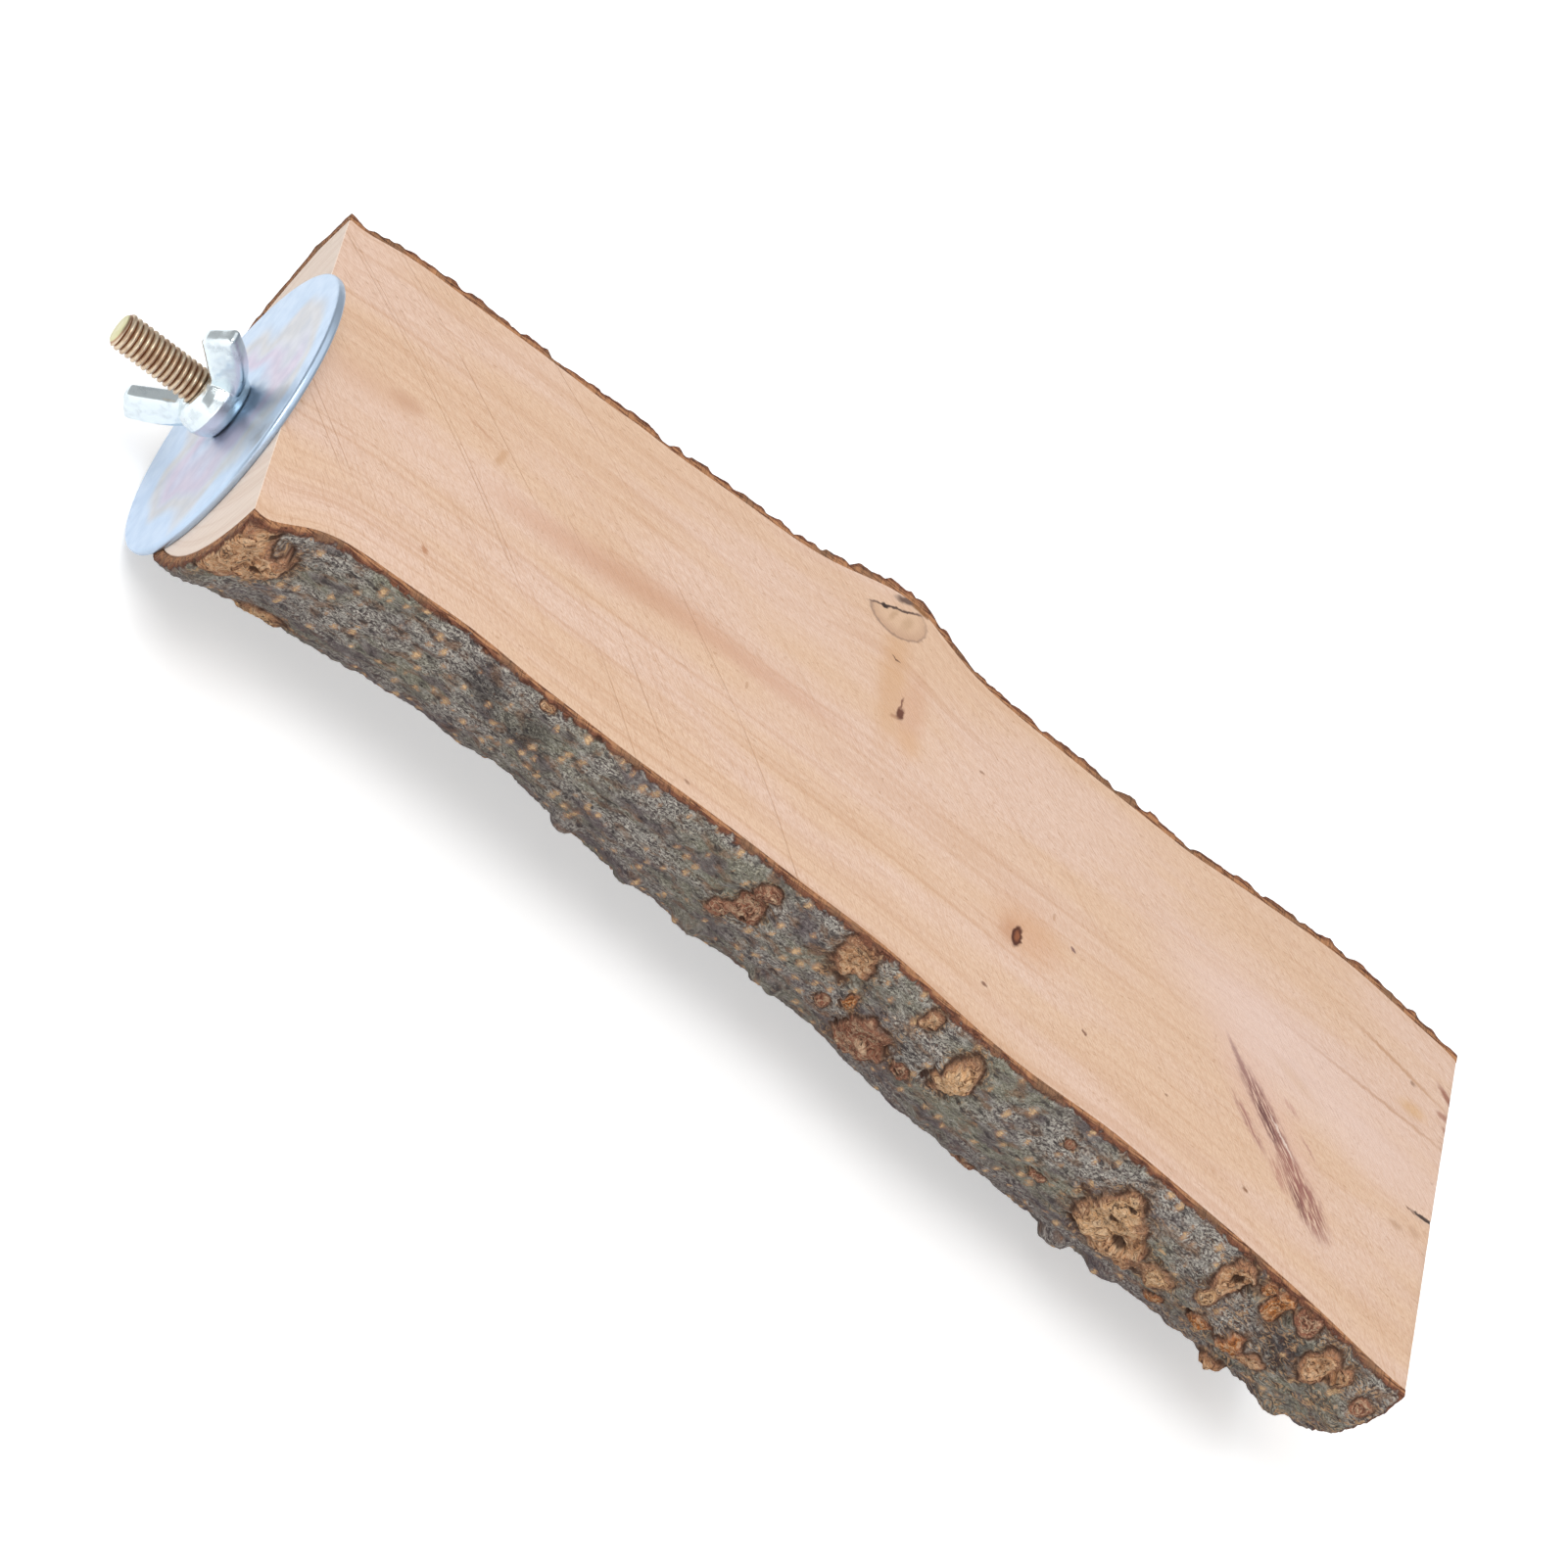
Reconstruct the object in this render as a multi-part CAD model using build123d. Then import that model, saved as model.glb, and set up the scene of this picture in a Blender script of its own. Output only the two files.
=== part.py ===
from build123d import *
import math
import os

os.makedirs("parts", exist_ok=True)

# A perch cut from a log: a half-round slab with its bark on, clamped to a cage wall by a hanger bolt,
# a wide washer and a wing nut. Origin on the bolt's axis in the sawn end that meets the cage wall,
# +X along the slab away from the cage, +Z up out of the flat perching face. Millimetres.

# Slab and bark
LENGTH = 220.0
HALF_WIDTH = 36.0
WOOD_DEPTH = 34.2
TOP_RISE = 16.2
BARK_THICKNESS = 1.8
KNOT_LENGTH = 10.0
KNOT_WIDTH = 6.0
KNOT_RISE = 1.2

# Hanger bolt, M6 outside and a wood screw inside
THREAD_RADIUS = 3.0
STUD_LENGTH = 22.3
STUD_CHAMFER = 0.8
SCREW_RADIUS = 2.6
SCREW_LENGTH = 27.7
SCREW_POINT_LENGTH = 7.0
SCREW_POINT_RADIUS = 0.4

# Fender washer
WASHER_RADIUS = 25.0
WASHER_THICKNESS = 1.5
WASHER_EDGE_ROUND = 0.5
WASHER_CLEARANCE = 0.3

# Wing nut
NUT_CLEARANCE = 0.05
HUB_BASE_RADIUS = 4.9
HUB_RADIUS = 6.0
HUB_TOP_RADIUS = 4.6
HUB_HEIGHT = 6.3
WING_SPAN = 33.0
WING_RISE = 12.5
WING_WIDTH = 5.8
WING_THICKNESS = 2.8
WING_FOOT_RISE = 0.8
WING_EDGE_ROUND = 0.9
WING_FLARE = 58.0
WING_TURN = 20.0

# How far a cutting form runs past what it cuts
OVERRUN = 5.0

# The log's waney outline at even stations along it: front edge and back edge as shares of the half
# width, keel as shares of the wood's depth. The swell at the back near the middle is a branch's foot.
FRONT_EDGE_SHARES = [
    1.060, 0.930, 0.860, 0.845, 0.835, 0.860, 0.870, 0.875, 0.867, 0.867, 0.875, 0.875,
    0.895, 0.940, 0.978, 0.980, 0.970, 0.992, 1.020, 1.053, 1.097, 1.153, 1.197,
]
BACK_EDGE_SHARES = [
    0.964, 0.997, 1.014, 1.022, 1.028, 1.030, 1.036, 1.050, 1.064, 1.090, 1.180, 1.210,
    1.078, 1.025, 1.010, 1.000, 0.990, 1.000, 1.025, 1.045, 1.040, 0.997, 0.942,
]
KEEL_DEPTH_SHARES = [
    0.980, 0.975, 0.955, 0.925, 0.885, 0.850, 0.830, 0.860, 0.910, 0.930, 0.935, 0.935,
    0.950, 0.980, 1.010, 1.030, 1.040, 1.045, 1.045, 1.040, 1.020, 0.995, 0.975,
]

# Half-round section, from the front edge down to the keel and up to the back edge:
# share of the edge's distance from the bolt's plane, share of the depth.
SECTION_FRONT_SHARES = [(1.000, 0.000), (0.962, 0.280), (0.830, 0.565), (0.500, 0.868)]
SECTION_BACK_SHARES = [(0.550, 0.868), (0.880, 0.565), (0.985, 0.280), (1.000, 0.000)]

# Branch scars that swell the bark: place along the log, place round it from the front edge to the back
# edge, then length and width as shares of the usual knot.
KNOT_SHARES = [
    (0.022, 0.060, 1.10, 1.40),
    (0.443, 0.085, 0.95, 1.00),
    (0.520, 0.040, 0.85, 0.95),
    (0.571, 0.150, 0.90, 0.95),
    (0.628, 0.070, 0.85, 0.85),
    (0.785, 0.120, 1.40, 1.30),
    (0.864, 0.045, 0.60, 0.90),
    (0.899, 0.035, 0.60, 0.90),
    (0.905, 0.145, 0.70, 0.80),
    (0.948, 0.060, 0.75, 1.00),
]


def share_at(shares, place):
    """Value of a row of even stations at a place from 0 to 1 along the log."""
    step = place * (len(shares) - 1)
    before = min(int(step), len(shares) - 2)
    return shares[before] + (step - before) * (shares[before + 1] - shares[before])


def log_section(place, bark):
    """Half-round face across the log, open above the flat top, with a thickness of bark on it."""
    front = share_at(FRONT_EDGE_SHARES, place) * HALF_WIDTH + bark
    back = share_at(BACK_EDGE_SHARES, place) * HALF_WIDTH + bark
    depth = share_at(KEEL_DEPTH_SHARES, place) * WOOD_DEPTH + bark
    points = [(-side * front, -down * depth) for side, down in SECTION_FRONT_SHARES]
    points.append((0, -depth))
    points += [(side * back, -down * depth) for side, down in SECTION_BACK_SHARES]
    round_side = Spline(points, tangents=[(0, -1), (0, 1)])
    above = Polyline(points[-1], (back, OVERRUN), (-front, OVERRUN), points[0])
    plane = Plane(origin=(place * LENGTH, 0, TOP_RISE), x_dir=(0, 1, 0), z_dir=(1, 0, 0))
    return plane * make_face(Curve() + [round_side, above])


def log_form(bark):
    """Smooth loft through the sections at every station."""
    spans = len(FRONT_EDGE_SHARES) - 1
    return loft([log_section(station / spans, bark) for station in range(spans + 1)])


def below_top(form):
    """The part of a form under the sawn top face."""
    return split(form, bisect_by=Plane(origin=(0, 0, TOP_RISE)), keep=Keep.BOTTOM)


def make_knot(place, around, length, width):
    """Low dome of bark over a branch scar, lying along the log."""
    turn = math.pi * around
    edge = FRONT_EDGE_SHARES if around < 0.5 else BACK_EDGE_SHARES
    reach = share_at(edge, place) * HALF_WIDTH + BARK_THICKNESS
    depth = share_at(KEEL_DEPTH_SHARES, place) * WOOD_DEPTH + BARK_THICKNESS
    seat = Pos(place * LENGTH, -math.cos(turn) * reach, TOP_RISE - math.sin(turn) * depth)
    size = (length * KNOT_LENGTH / 2, KNOT_RISE, width * KNOT_WIDTH / 2)
    return seat * (Rot(math.degrees(turn), 0, 0) * scale(Sphere(1), by=size))


def make_bark(log):
    """Layer of bark round the log, with its knots, cut flush with the top and the sawn ends."""
    layer = log_form(BARK_THICKNESS)
    spread = 2 * (HALF_WIDTH + WOOD_DEPTH)
    between_ends = Pos(LENGTH / 2, 0, 0) * Box(LENGTH, spread, spread)
    for knot_shares in KNOT_SHARES:
        layer = layer + (make_knot(*knot_shares) & between_ends)
    return below_top(layer) - log


def turned(*edges):
    """Solid of revolution about the bolt's axis from a closed half profile in the XY plane."""
    return revolve(make_face(Curve() + list(edges)), axis=Axis.X)


def make_hanger_bolt():
    """Bolt with its machine end out of the slab and its wood-screw end inside."""
    profile = Polyline(
        (-STUD_LENGTH, 0),
        (-STUD_LENGTH, THREAD_RADIUS - STUD_CHAMFER),
        (-STUD_LENGTH + STUD_CHAMFER, THREAD_RADIUS),
        (0, THREAD_RADIUS),
        (0, SCREW_RADIUS),
        (SCREW_LENGTH - SCREW_POINT_LENGTH, SCREW_RADIUS),
        (SCREW_LENGTH, SCREW_POINT_RADIUS),
        (SCREW_LENGTH, 0),
        close=True,
    )
    return turned(profile)


def make_washer():
    """Wide flat washer with a rounded rim, against the slab's end."""
    hole_radius = THREAD_RADIUS + WASHER_CLEARANCE
    profile = Polyline(
        (-WASHER_THICKNESS, hole_radius),
        (-WASHER_THICKNESS, WASHER_RADIUS),
        (0, WASHER_RADIUS),
        (0, hole_radius),
        close=True,
    )
    disc = turned(profile)
    rim = [edge for edge in disc.edges().filter_by(GeomType.CIRCLE) if edge.radius > hole_radius * 2]
    return fillet(rim, WASHER_EDGE_ROUND)


def make_wing():
    """One wing in the XZ plane: a stout ear that leaves the hub's foot and flares out and away."""
    flare = math.radians(WING_FLARE)
    tip_outer = (math.cos(flare) * WING_WIDTH - WING_RISE, WING_SPAN / 2)
    tip_inner = (-WING_RISE, WING_SPAN / 2 - math.sin(flare) * WING_WIDTH)
    foot = (-WING_FOOT_RISE, 0)
    root = (-HUB_HEIGHT, 0)
    inner_root = (-HUB_HEIGHT, HUB_TOP_RADIUS)
    outer_edge = TangentArc(foot, tip_outer, tangent=(0, 1))
    rest = Polyline(tip_outer, tip_inner, inner_root, root, foot)
    ear = extrude(Plane.XZ * make_face(Curve() + [outer_edge, rest]), amount=WING_THICKNESS / 2, both=True)
    rounded = [edge for edge in ear.edges() if edge.center().Z > HUB_TOP_RADIUS]
    return fillet(rounded, WING_EDGE_ROUND)


def make_wing_nut():
    """Domed hub with two wings, bored over the thread and set down on the washer."""
    bore_radius = THREAD_RADIUS + NUT_CLEARANCE
    foot = (0, HUB_BASE_RADIUS)
    shoulder = (-HUB_HEIGHT, HUB_TOP_RADIUS)
    dome = ThreePointArc(foot, (-HUB_HEIGHT / 2, HUB_RADIUS), shoulder)
    hub = turned(dome, Polyline(shoulder, (-HUB_HEIGHT, 0), (0, 0), foot))
    wing = make_wing()
    nut = hub + wing + Rot(180, 0, 0) * wing
    nut = nut - Rot(0, 90, 0) * Cylinder(bore_radius, WING_SPAN + OVERRUN)
    return Pos(-WASHER_THICKNESS, 0, 0) * (Rot(WING_TURN, 0, 0) * nut)


log = log_form(0)
hanger_bolt = make_hanger_bolt()
pieces = {
    "wood_slab": below_top(log) - hanger_bolt,
    "bark": make_bark(log),
    "hanger_bolt": hanger_bolt,
    "washer": make_washer(),
    "wing_nut": make_wing_nut(),
}

for name, piece in pieces.items():
    export_step(piece, "parts/" + name + ".step")
    print(name, round(piece.volume), "mm3", len(piece.solids()), "solid")
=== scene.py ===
"""Looks of a bird perch: a half log with its bark on, a threaded stud, a wide washer and a wing nut.

Sizes are millimetres in the perch's own frame: +X along the log away from the cage wall, +Z up out of the
sawn top, the bolt's axis on X. Places round the log are degrees, from the front edge (0) by the keel (90)
to the back edge (180).
"""

import logging
import math
import random
from dataclasses import dataclass, field
from enum import Enum
from typing import Any, Callable, Iterable, Sequence

import bmesh
import bpy
from mathutils import Matrix, Vector, noise
from mathutils.bvhtree import BVHTree


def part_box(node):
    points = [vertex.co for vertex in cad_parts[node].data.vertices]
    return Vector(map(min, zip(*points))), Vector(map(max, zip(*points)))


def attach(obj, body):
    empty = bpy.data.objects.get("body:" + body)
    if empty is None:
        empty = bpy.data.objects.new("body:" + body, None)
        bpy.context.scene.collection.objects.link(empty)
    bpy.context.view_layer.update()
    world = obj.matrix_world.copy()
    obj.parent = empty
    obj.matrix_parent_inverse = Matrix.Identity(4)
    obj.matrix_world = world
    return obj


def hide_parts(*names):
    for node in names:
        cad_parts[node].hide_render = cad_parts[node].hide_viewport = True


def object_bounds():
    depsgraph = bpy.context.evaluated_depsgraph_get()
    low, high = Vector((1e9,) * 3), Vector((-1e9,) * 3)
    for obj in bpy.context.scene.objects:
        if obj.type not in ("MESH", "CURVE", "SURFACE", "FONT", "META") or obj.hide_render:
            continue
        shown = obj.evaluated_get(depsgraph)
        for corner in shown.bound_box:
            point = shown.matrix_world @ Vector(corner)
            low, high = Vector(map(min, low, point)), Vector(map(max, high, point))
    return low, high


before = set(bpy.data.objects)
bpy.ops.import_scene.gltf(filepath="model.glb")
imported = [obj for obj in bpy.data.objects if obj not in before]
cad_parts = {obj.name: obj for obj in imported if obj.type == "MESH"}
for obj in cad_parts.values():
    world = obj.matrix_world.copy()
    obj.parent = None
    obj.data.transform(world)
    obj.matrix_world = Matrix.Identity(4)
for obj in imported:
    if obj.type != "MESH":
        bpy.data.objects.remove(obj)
CAD_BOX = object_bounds()

MM = 0.001
LOG = logging.getLogger("perch")

Colour = tuple[float, float, float, float]
Sizes = tuple[float, ...]


class Body(Enum):
    """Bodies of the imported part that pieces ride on."""

    PERCH = "perch"
    WASHER = "washer"
    WING_NUT = "wing_nut"


class Tone(Enum):
    """Colour of the bare inner bark in a scar, from pale to rust."""

    PALE = 0.0
    TAN = 0.35
    ORANGE = 0.65
    RUST = 1.0


class Kind(Enum):
    """Kinds of node, by Blender's names for them."""

    ATTRIBUTE = "ShaderNodeAttribute"
    BACKGROUND = "ShaderNodeBackground"
    BLEND = "ShaderNodeMix"
    BUMP = "ShaderNodeBump"
    CELLS = "ShaderNodeTexVoronoi"
    COORDINATES = "ShaderNodeTexCoord"
    EASE = "ShaderNodeMapRange"
    JOIN = "ShaderNodeCombineXYZ"
    LIGHT_PATH = "ShaderNodeLightPath"
    MAPPING = "ShaderNodeMapping"
    MATERIAL = "ShaderNodeOutputMaterial"
    MATH = "ShaderNodeMath"
    NOISE = "ShaderNodeTexNoise"
    SPLIT = "ShaderNodeSeparateXYZ"
    SPLIT_COLOUR = "ShaderNodeSeparateColor"
    SURFACE = "ShaderNodeBsdfPrincipled"
    UV_MAP = "ShaderNodeUVMap"
    VECTOR = "ShaderNodeVectorMath"
    WORLD = "ShaderNodeOutputWorld"


def linear(colour: str) -> Colour:
    """Linear RGBA of an sRGB hex colour."""
    channels = [int(colour[place:place + 2], 16) / 255 for place in (1, 3, 5)]
    red, green, blue = (c / 12.92 if c <= 0.04045 else ((c + 0.055) / 1.055) ** 2.4 for c in channels)
    return (red, green, blue, 1.0)


def smooth(low: float, high: float, value: float) -> float:
    """Smooth step of a value from 0 at low to 1 at high; low may be the larger one."""
    share = min(1.0, max(0.0, (value - low) / (high - low)))
    return share * share * (3 - 2 * share)


class Shader:
    """A material or a world while its nodes are being added.

    An EASE node takes a value and the two ends that it steps smoothly between, then what they become if that
    isn't 0 and 1. A BLEND node takes a share, the colour under and the colour over it.
    """

    USUAL = {Kind.EASE: {"interpolation_type": "SMOOTHSTEP"}, Kind.BLEND: {"data_type": "RGBA"}}

    def __init__(self, owner: bpy.types.Material | bpy.types.World) -> None:
        """Start the owner's tree with no nodes."""
        self.owner = owner
        owner.use_nodes = True
        self.tree = owner.node_tree
        self.tree.nodes.clear()

    def add(
        self, kind: Kind, *values: Any, sockets: dict[str, Any] | None = None, **settings: Any
    ) -> bpy.types.Node:
        """Add a node with its settings and links.

        Args:
            kind: Kind of node.
            values: What goes into the sockets in use, in their order: a constant, a hex colour, a node whose
                first output feeds the socket, or a pair of a node and an output's name.
            sockets: The same for sockets by name.
            settings: The node's own properties.

        Returns:
            The new node.
        """
        node = self.tree.nodes.new(kind.value)
        for name, value in {**self.USUAL.get(kind, {}), **settings}.items():
            setattr(node, name, value)
        in_use = [socket for socket in node.inputs if socket.enabled]
        named = [(pick(in_use, name), value) for name, value in (sockets or {}).items()]
        for socket, value in [*zip(in_use, values), *named]:
            if isinstance(value, bpy.types.Node):
                self.tree.links.new(next(out for out in value.outputs if out.enabled), socket)
            elif isinstance(value, tuple) and isinstance(value[0], bpy.types.Node):
                self.tree.links.new(pick(value[0].outputs, value[1]), socket)
            else:
                socket.default_value = linear(value) if isinstance(value, str) else value
        return node

    def place(self) -> bpy.types.Node:
        """The point on the piece, in millimetres."""
        corner = self.add(Kind.COORDINATES)
        return self.add(Kind.VECTOR, (corner, "Object"), 1 / MM, operation="SCALE")

    def grain(self, point: Any, size: Sizes, detail: float, distortion: float = 0.0) -> bpy.types.Node:
        """Noise whose features have a real size.

        Args:
            point: Node or output with the point in millimetres.
            size: Size of a feature along each axis, in millimetres.
            detail: Octaves of finer noise.
            distortion: How far the noise is swirled.

        Returns:
            The noise node, about 0.5 on average.
        """
        scaled = self.add(Kind.VECTOR, point, size, operation="DIVIDE")
        return self.add(Kind.NOISE, scaled, 1.0, detail, sockets={"Distortion": distortion})

    def finish(self, **inputs: Any) -> bpy.types.Material:
        """Close the material with a principled surface.

        Args:
            inputs: What goes into the surface's sockets, whose names have underscores for spaces here.

        Returns:
            The material.
        """
        sockets = {name.replace("_", " "): value for name, value in inputs.items()}
        surface = self.add(Kind.SURFACE, sockets=sockets)
        self.add(Kind.MATERIAL, surface)
        return self.owner


def pick(sockets: Iterable[bpy.types.NodeSocket], name: str) -> bpy.types.NodeSocket:
    """The socket of a name that is in use."""
    return next(socket for socket in sockets if socket.name == name and socket.enabled)


@dataclass(frozen=True)
class Mark:
    """A natural mark in the sawn top: its centre, its size along its own turn in plan, its colour.

    A flat side cuts the mark off across its width, at a share of the half width; past 1 it cuts nothing.
    """

    DEEP = 0.9
    x: float
    y: float
    length: float
    width: float
    turn: float
    colour: str
    strength: float
    soft: float = 0.5
    streaky: bool = False
    flat_side: float = 9.0

    @property
    def is_deep(self) -> bool:
        """Whether the mark is strong enough to lie in a dip of the wood."""
        return self.strength >= self.DEEP


@dataclass(frozen=True)
class SawnWood:
    """Fruit wood, sawn and left rough: matt pale pink-tan, with faint grain, open pores and blade lines."""

    name: str = "sawn fruit wood"
    pink: str = "#E9CCBA"
    warm: str = "#E6C6AB"
    late: str = "#C69876"
    pore: str = "#A67A56"
    end: str = "#FCEBDD"
    scored: str = "#B88760"
    blade_lean: float = 0.863
    blade_curve: float = 0.0046
    blade_gap: float = 1.1
    end_skin: tuple[float, float] = (0.12, 0.04)
    scratches: tuple[float, ...] = (-3.0, -0.7, 31.9, 33.0, 46.6, 54.2, 68.5, 77.4)
    marks: tuple[Mark, ...] = (
        # Wood that is darker round the branch's foot, the encased knot and its bark pocket.
        Mark(107.4, 24.0, 5.0, 26.0, 4, "#D3A67D", 0.6, 0.7),
        Mark(112.0, 20.0, 4.4, 17.0, 0, "#D2A283", 0.5, 0.7),
        Mark(112.6, 13.0, 4.0, 6.0, 0, "#DBAF84", 0.35, 0.8),
        Mark(105.8, 38.7, 11.1, 9.3, 27.7, "#80645A", 0.75, 0.06, flat_side=0.38),
        Mark(105.9, 38.7, 10.4, 8.6, 27.7, "#CBA68A", 1.0, 0.06, flat_side=0.34),
        Mark(105.9, 39.3, 9.2, 6.6, 27.7, "#DDBA9C", 0.9, 0.35, flat_side=0.24),
        Mark(107.6, 38.4, 3.6, 1.6, 70, "#BF9C7C", 0.6, 0.7),
        Mark(104.9, 38.2, 3.6, 0.9, 70, "#BC9878", 0.6, 0.7),
        Mark(105.0, 40.0, 9.4, 0.55, 27.7, "#4E3C36", 0.9, 0.5),
        Mark(103.1, 39.1, 1.2, 0.8, 27.7, "#3A2C28", 0.9, 0.4),
        Mark(106.8, 43.6, 4.6, 1.6, 30, "#5A4640", 0.9, 0.5),
        Mark(110.0, 43.9, 4.4, 2.1, 8, "#8F6139", 0.95, 0.3),
        Mark(109.8, 20.6, 2.8, 0.42, 88, "#7A5040", 0.85, 0.5),
        Mark(110.0, 18.3, 2.8, 1.3, 80, "#66392B", 0.95, 0.4),
        Mark(108.9, 16.7, 1.7, 0.8, 30, "#A9785C", 0.6, 0.6),
        Mark(107.1, 29.4, 1.6, 0.42, -22, "#5F4032", 0.9, 0.5),
        # Small knots and specks.
        Mark(139.6, -7.6, 11.0, 10.0, 0, "#D3A07A", 0.55, 0.9),
        Mark(136.6, -9.6, 5.0, 3.4, 70, "#C08B68", 0.5, 0.8),
        Mark(138.0, -9.7, 4.8, 1.9, 88, "#532A1D", 0.98, 0.22),
        Mark(138.1, -9.5, 2.4, 0.8, 88, "#9C6040", 0.8, 0.5),
        Mark(148.1, -4.0, 1.2, 0.7, -35, "#7C5D5A", 0.85, 0.5),
        Mark(152.8, -19.2, 1.2, 0.6, -50, "#7E5643", 0.85, 0.5),
        Mark(134.2, -24.6, 1.0, 0.8, 0, "#7E5643", 0.85, 0.5),
        Mark(169.0, -19.5, 0.8, 0.6, 0, "#8F6A52", 0.7, 0.5),
        Mark(185.7, -26.7, 1.1, 0.9, 0, "#8A6144", 0.85, 0.5),
        Mark(212.5, 22.1, 1.0, 0.8, 0, "#8A6650", 0.7, 0.5),
        Mark(126.0, 19.0, 0.9, 0.6, 0, "#94705A", 0.7, 0.5),
        Mark(78.0, -28.5, 1.0, 0.6, 0, "#94705A", 0.7, 0.5),
        # The purple-brown stain, drawn out along the blade's way, with its pale slit.
        Mark(188.0, -8.5, 28.0, 9.0, -48, "#DEB8A8", 0.55, 0.9),
        Mark(180.6, -0.8, 8.4, 1.1, -52, "#9A7068", 0.8, 0.5),
        Mark(187.2, -7.9, 18.0, 3.9, -48, "#8E6059", 0.9, 0.45, True),
        Mark(187.0, -8.9, 9.0, 1.7, -52, "#6A4643", 0.8, 0.6, True),
        Mark(193.2, -15.6, 8.0, 4.2, -50, "#9E6A5E", 0.85, 0.6, True),
        Mark(197.2, -20.3, 12.0, 5.4, -53, "#9C6A60", 0.95, 0.5, True),
        Mark(195.4, -21.2, 6.0, 1.6, -56, "#7B504A", 0.7, 0.6, True),
        Mark(190.5, -10.3, 7.4, 0.5, -47, "#EAD3C5", 0.85, 0.5),
        Mark(184.3, -12.4, 9.8, 1.7, -47, "#A4736A", 0.85, 0.6, True),
        Mark(191.2, -2.7, 3.6, 1.1, -30, "#B98778", 0.7, 0.6, True),
        Mark(195.6, -8.6, 4.4, 0.5, -44, "#B58579", 0.6, 0.6),
        Mark(191.2, -18.6, 6.0, 2.2, -55, "#B07A6C", 0.7, 0.7, True),
        Mark(191.2, 4.0, 8.4, 2.3, -23, "#CDA57D", 0.75, 0.8),
        # The far end: a short crack, red heart streaks, single grain lines.
        Mark(218.6, -4.85, 5.0, 0.8, 3, "#2C1E19", 0.97, 0.35),
        Mark(215.9, -5.3, 2.4, 0.35, -12, "#7A5644", 0.8, 0.5),
        Mark(213.6, -10.7, 2.6, 1.6, 0, "#BC967A", 0.6, 0.7),
        Mark(217.1, -9.4, 2.4, 1.8, 0, "#C39C80", 0.55, 0.7),
        Mark(219.3, 24.4, 5.0, 1.4, -42, "#98604E", 0.85, 0.6),
        Mark(218.9, 19.8, 2.2, 1.4, 0, "#9E6653", 0.7, 0.6),
        Mark(220.2, 16.8, 2.4, 0.8, -30, "#9E6653", 0.7, 0.6),
        Mark(213.2, 16.4, 4.8, 2.8, 0, "#D6A976", 0.6, 0.8),
        Mark(204.5, 13.3, 30.0, 0.8, -3, "#B78862", 0.65, 0.8),
        Mark(209.3, 23.8, 18.0, 0.9, -14, "#B78862", 0.65, 0.8),
        Mark(190.0, 8.0, 46.0, 16.0, -12, "#E7CCC2", 0.55, 0.9),
        # The near end and the middle: smudges, a brown wisp.
        Mark(17.6, 5.6, 5.4, 3.2, 10, "#C4977A", 0.7, 0.8),
        Mark(12.0, 4.0, 16.0, 6.0, 6, "#D6AE92", 0.5, 0.9),
        Mark(27.2, -21.4, 1.6, 1.0, -30, "#B27A55", 0.75, 0.5),
        Mark(60.0, 3.4, 30.0, 6.5, 8, "#CB9C7E", 0.7, 0.9),
        Mark(84.0, 5.0, 28.0, 4.5, 3, "#D2A58A", 0.65, 0.9),
        Mark(44.0, 1.4, 16.0, 4.5, 4, "#D6AC92", 0.5, 0.9),
        Mark(34.8, 9.0, 1.2, 4.5, -12, "#C4966F", 0.55, 0.7),
        Mark(31.0, 11.5, 5.0, 0.8, -14, "#C09070", 0.55, 0.7),
    )

    def material(self, length: float) -> bpy.types.Material:
        """The wood as a material that reads the piece's ring attribute.

        Args:
            length: Length of the log, for its sawn ends.

        Returns:
            The material.
        """
        shader = Shader(bpy.data.materials.new(self.name))
        add, grain = shader.add, shader.grain
        point = shader.place()
        split = add(Kind.SPLIT, point)
        ring = add(Kind.ATTRIBUTE, attribute_name="ring")
        fibre = add(Kind.JOIN, (split, "X"), (ring, "Fac"), (split, "Y"))
        # Broad drifts of pink and warm wood, then growth rings that run with the bark.
        drift = add(Kind.EASE, grain(fibre, (48, 11, 40), 2), 0.36, 0.62)
        colour = add(Kind.BLEND, drift, self.pink, self.warm)
        growth = grain(fibre, (95, 1.3, 55), 3)
        rings = add(Kind.EASE, growth, 0.47, 0.72, 0.0, 0.42)
        clear = add(Kind.EASE, grain(point, (55, 22, 40), 1), 0.40, 0.62, 0.25, 1.0)
        rings = add(Kind.MATH, rings, clear, operation="MULTIPLY")
        colour = add(Kind.BLEND, rings, colour, self.late)
        streaks = grain(fibre, (16, 0.35, 40), 2)
        colour = add(Kind.BLEND, add(Kind.EASE, streaks, 0.3, 0.7, 0.0, 0.16), colour, self.late)
        # Pores are drawn coarser than the real 0.1 mm so that they show.
        pores = add(Kind.EASE, grain(fibre, (1.3, 0.36, 20), 1), 0.66, 0.76, 0.0, 0.40)
        colour = add(Kind.BLEND, pores, colour, self.pore)
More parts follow.
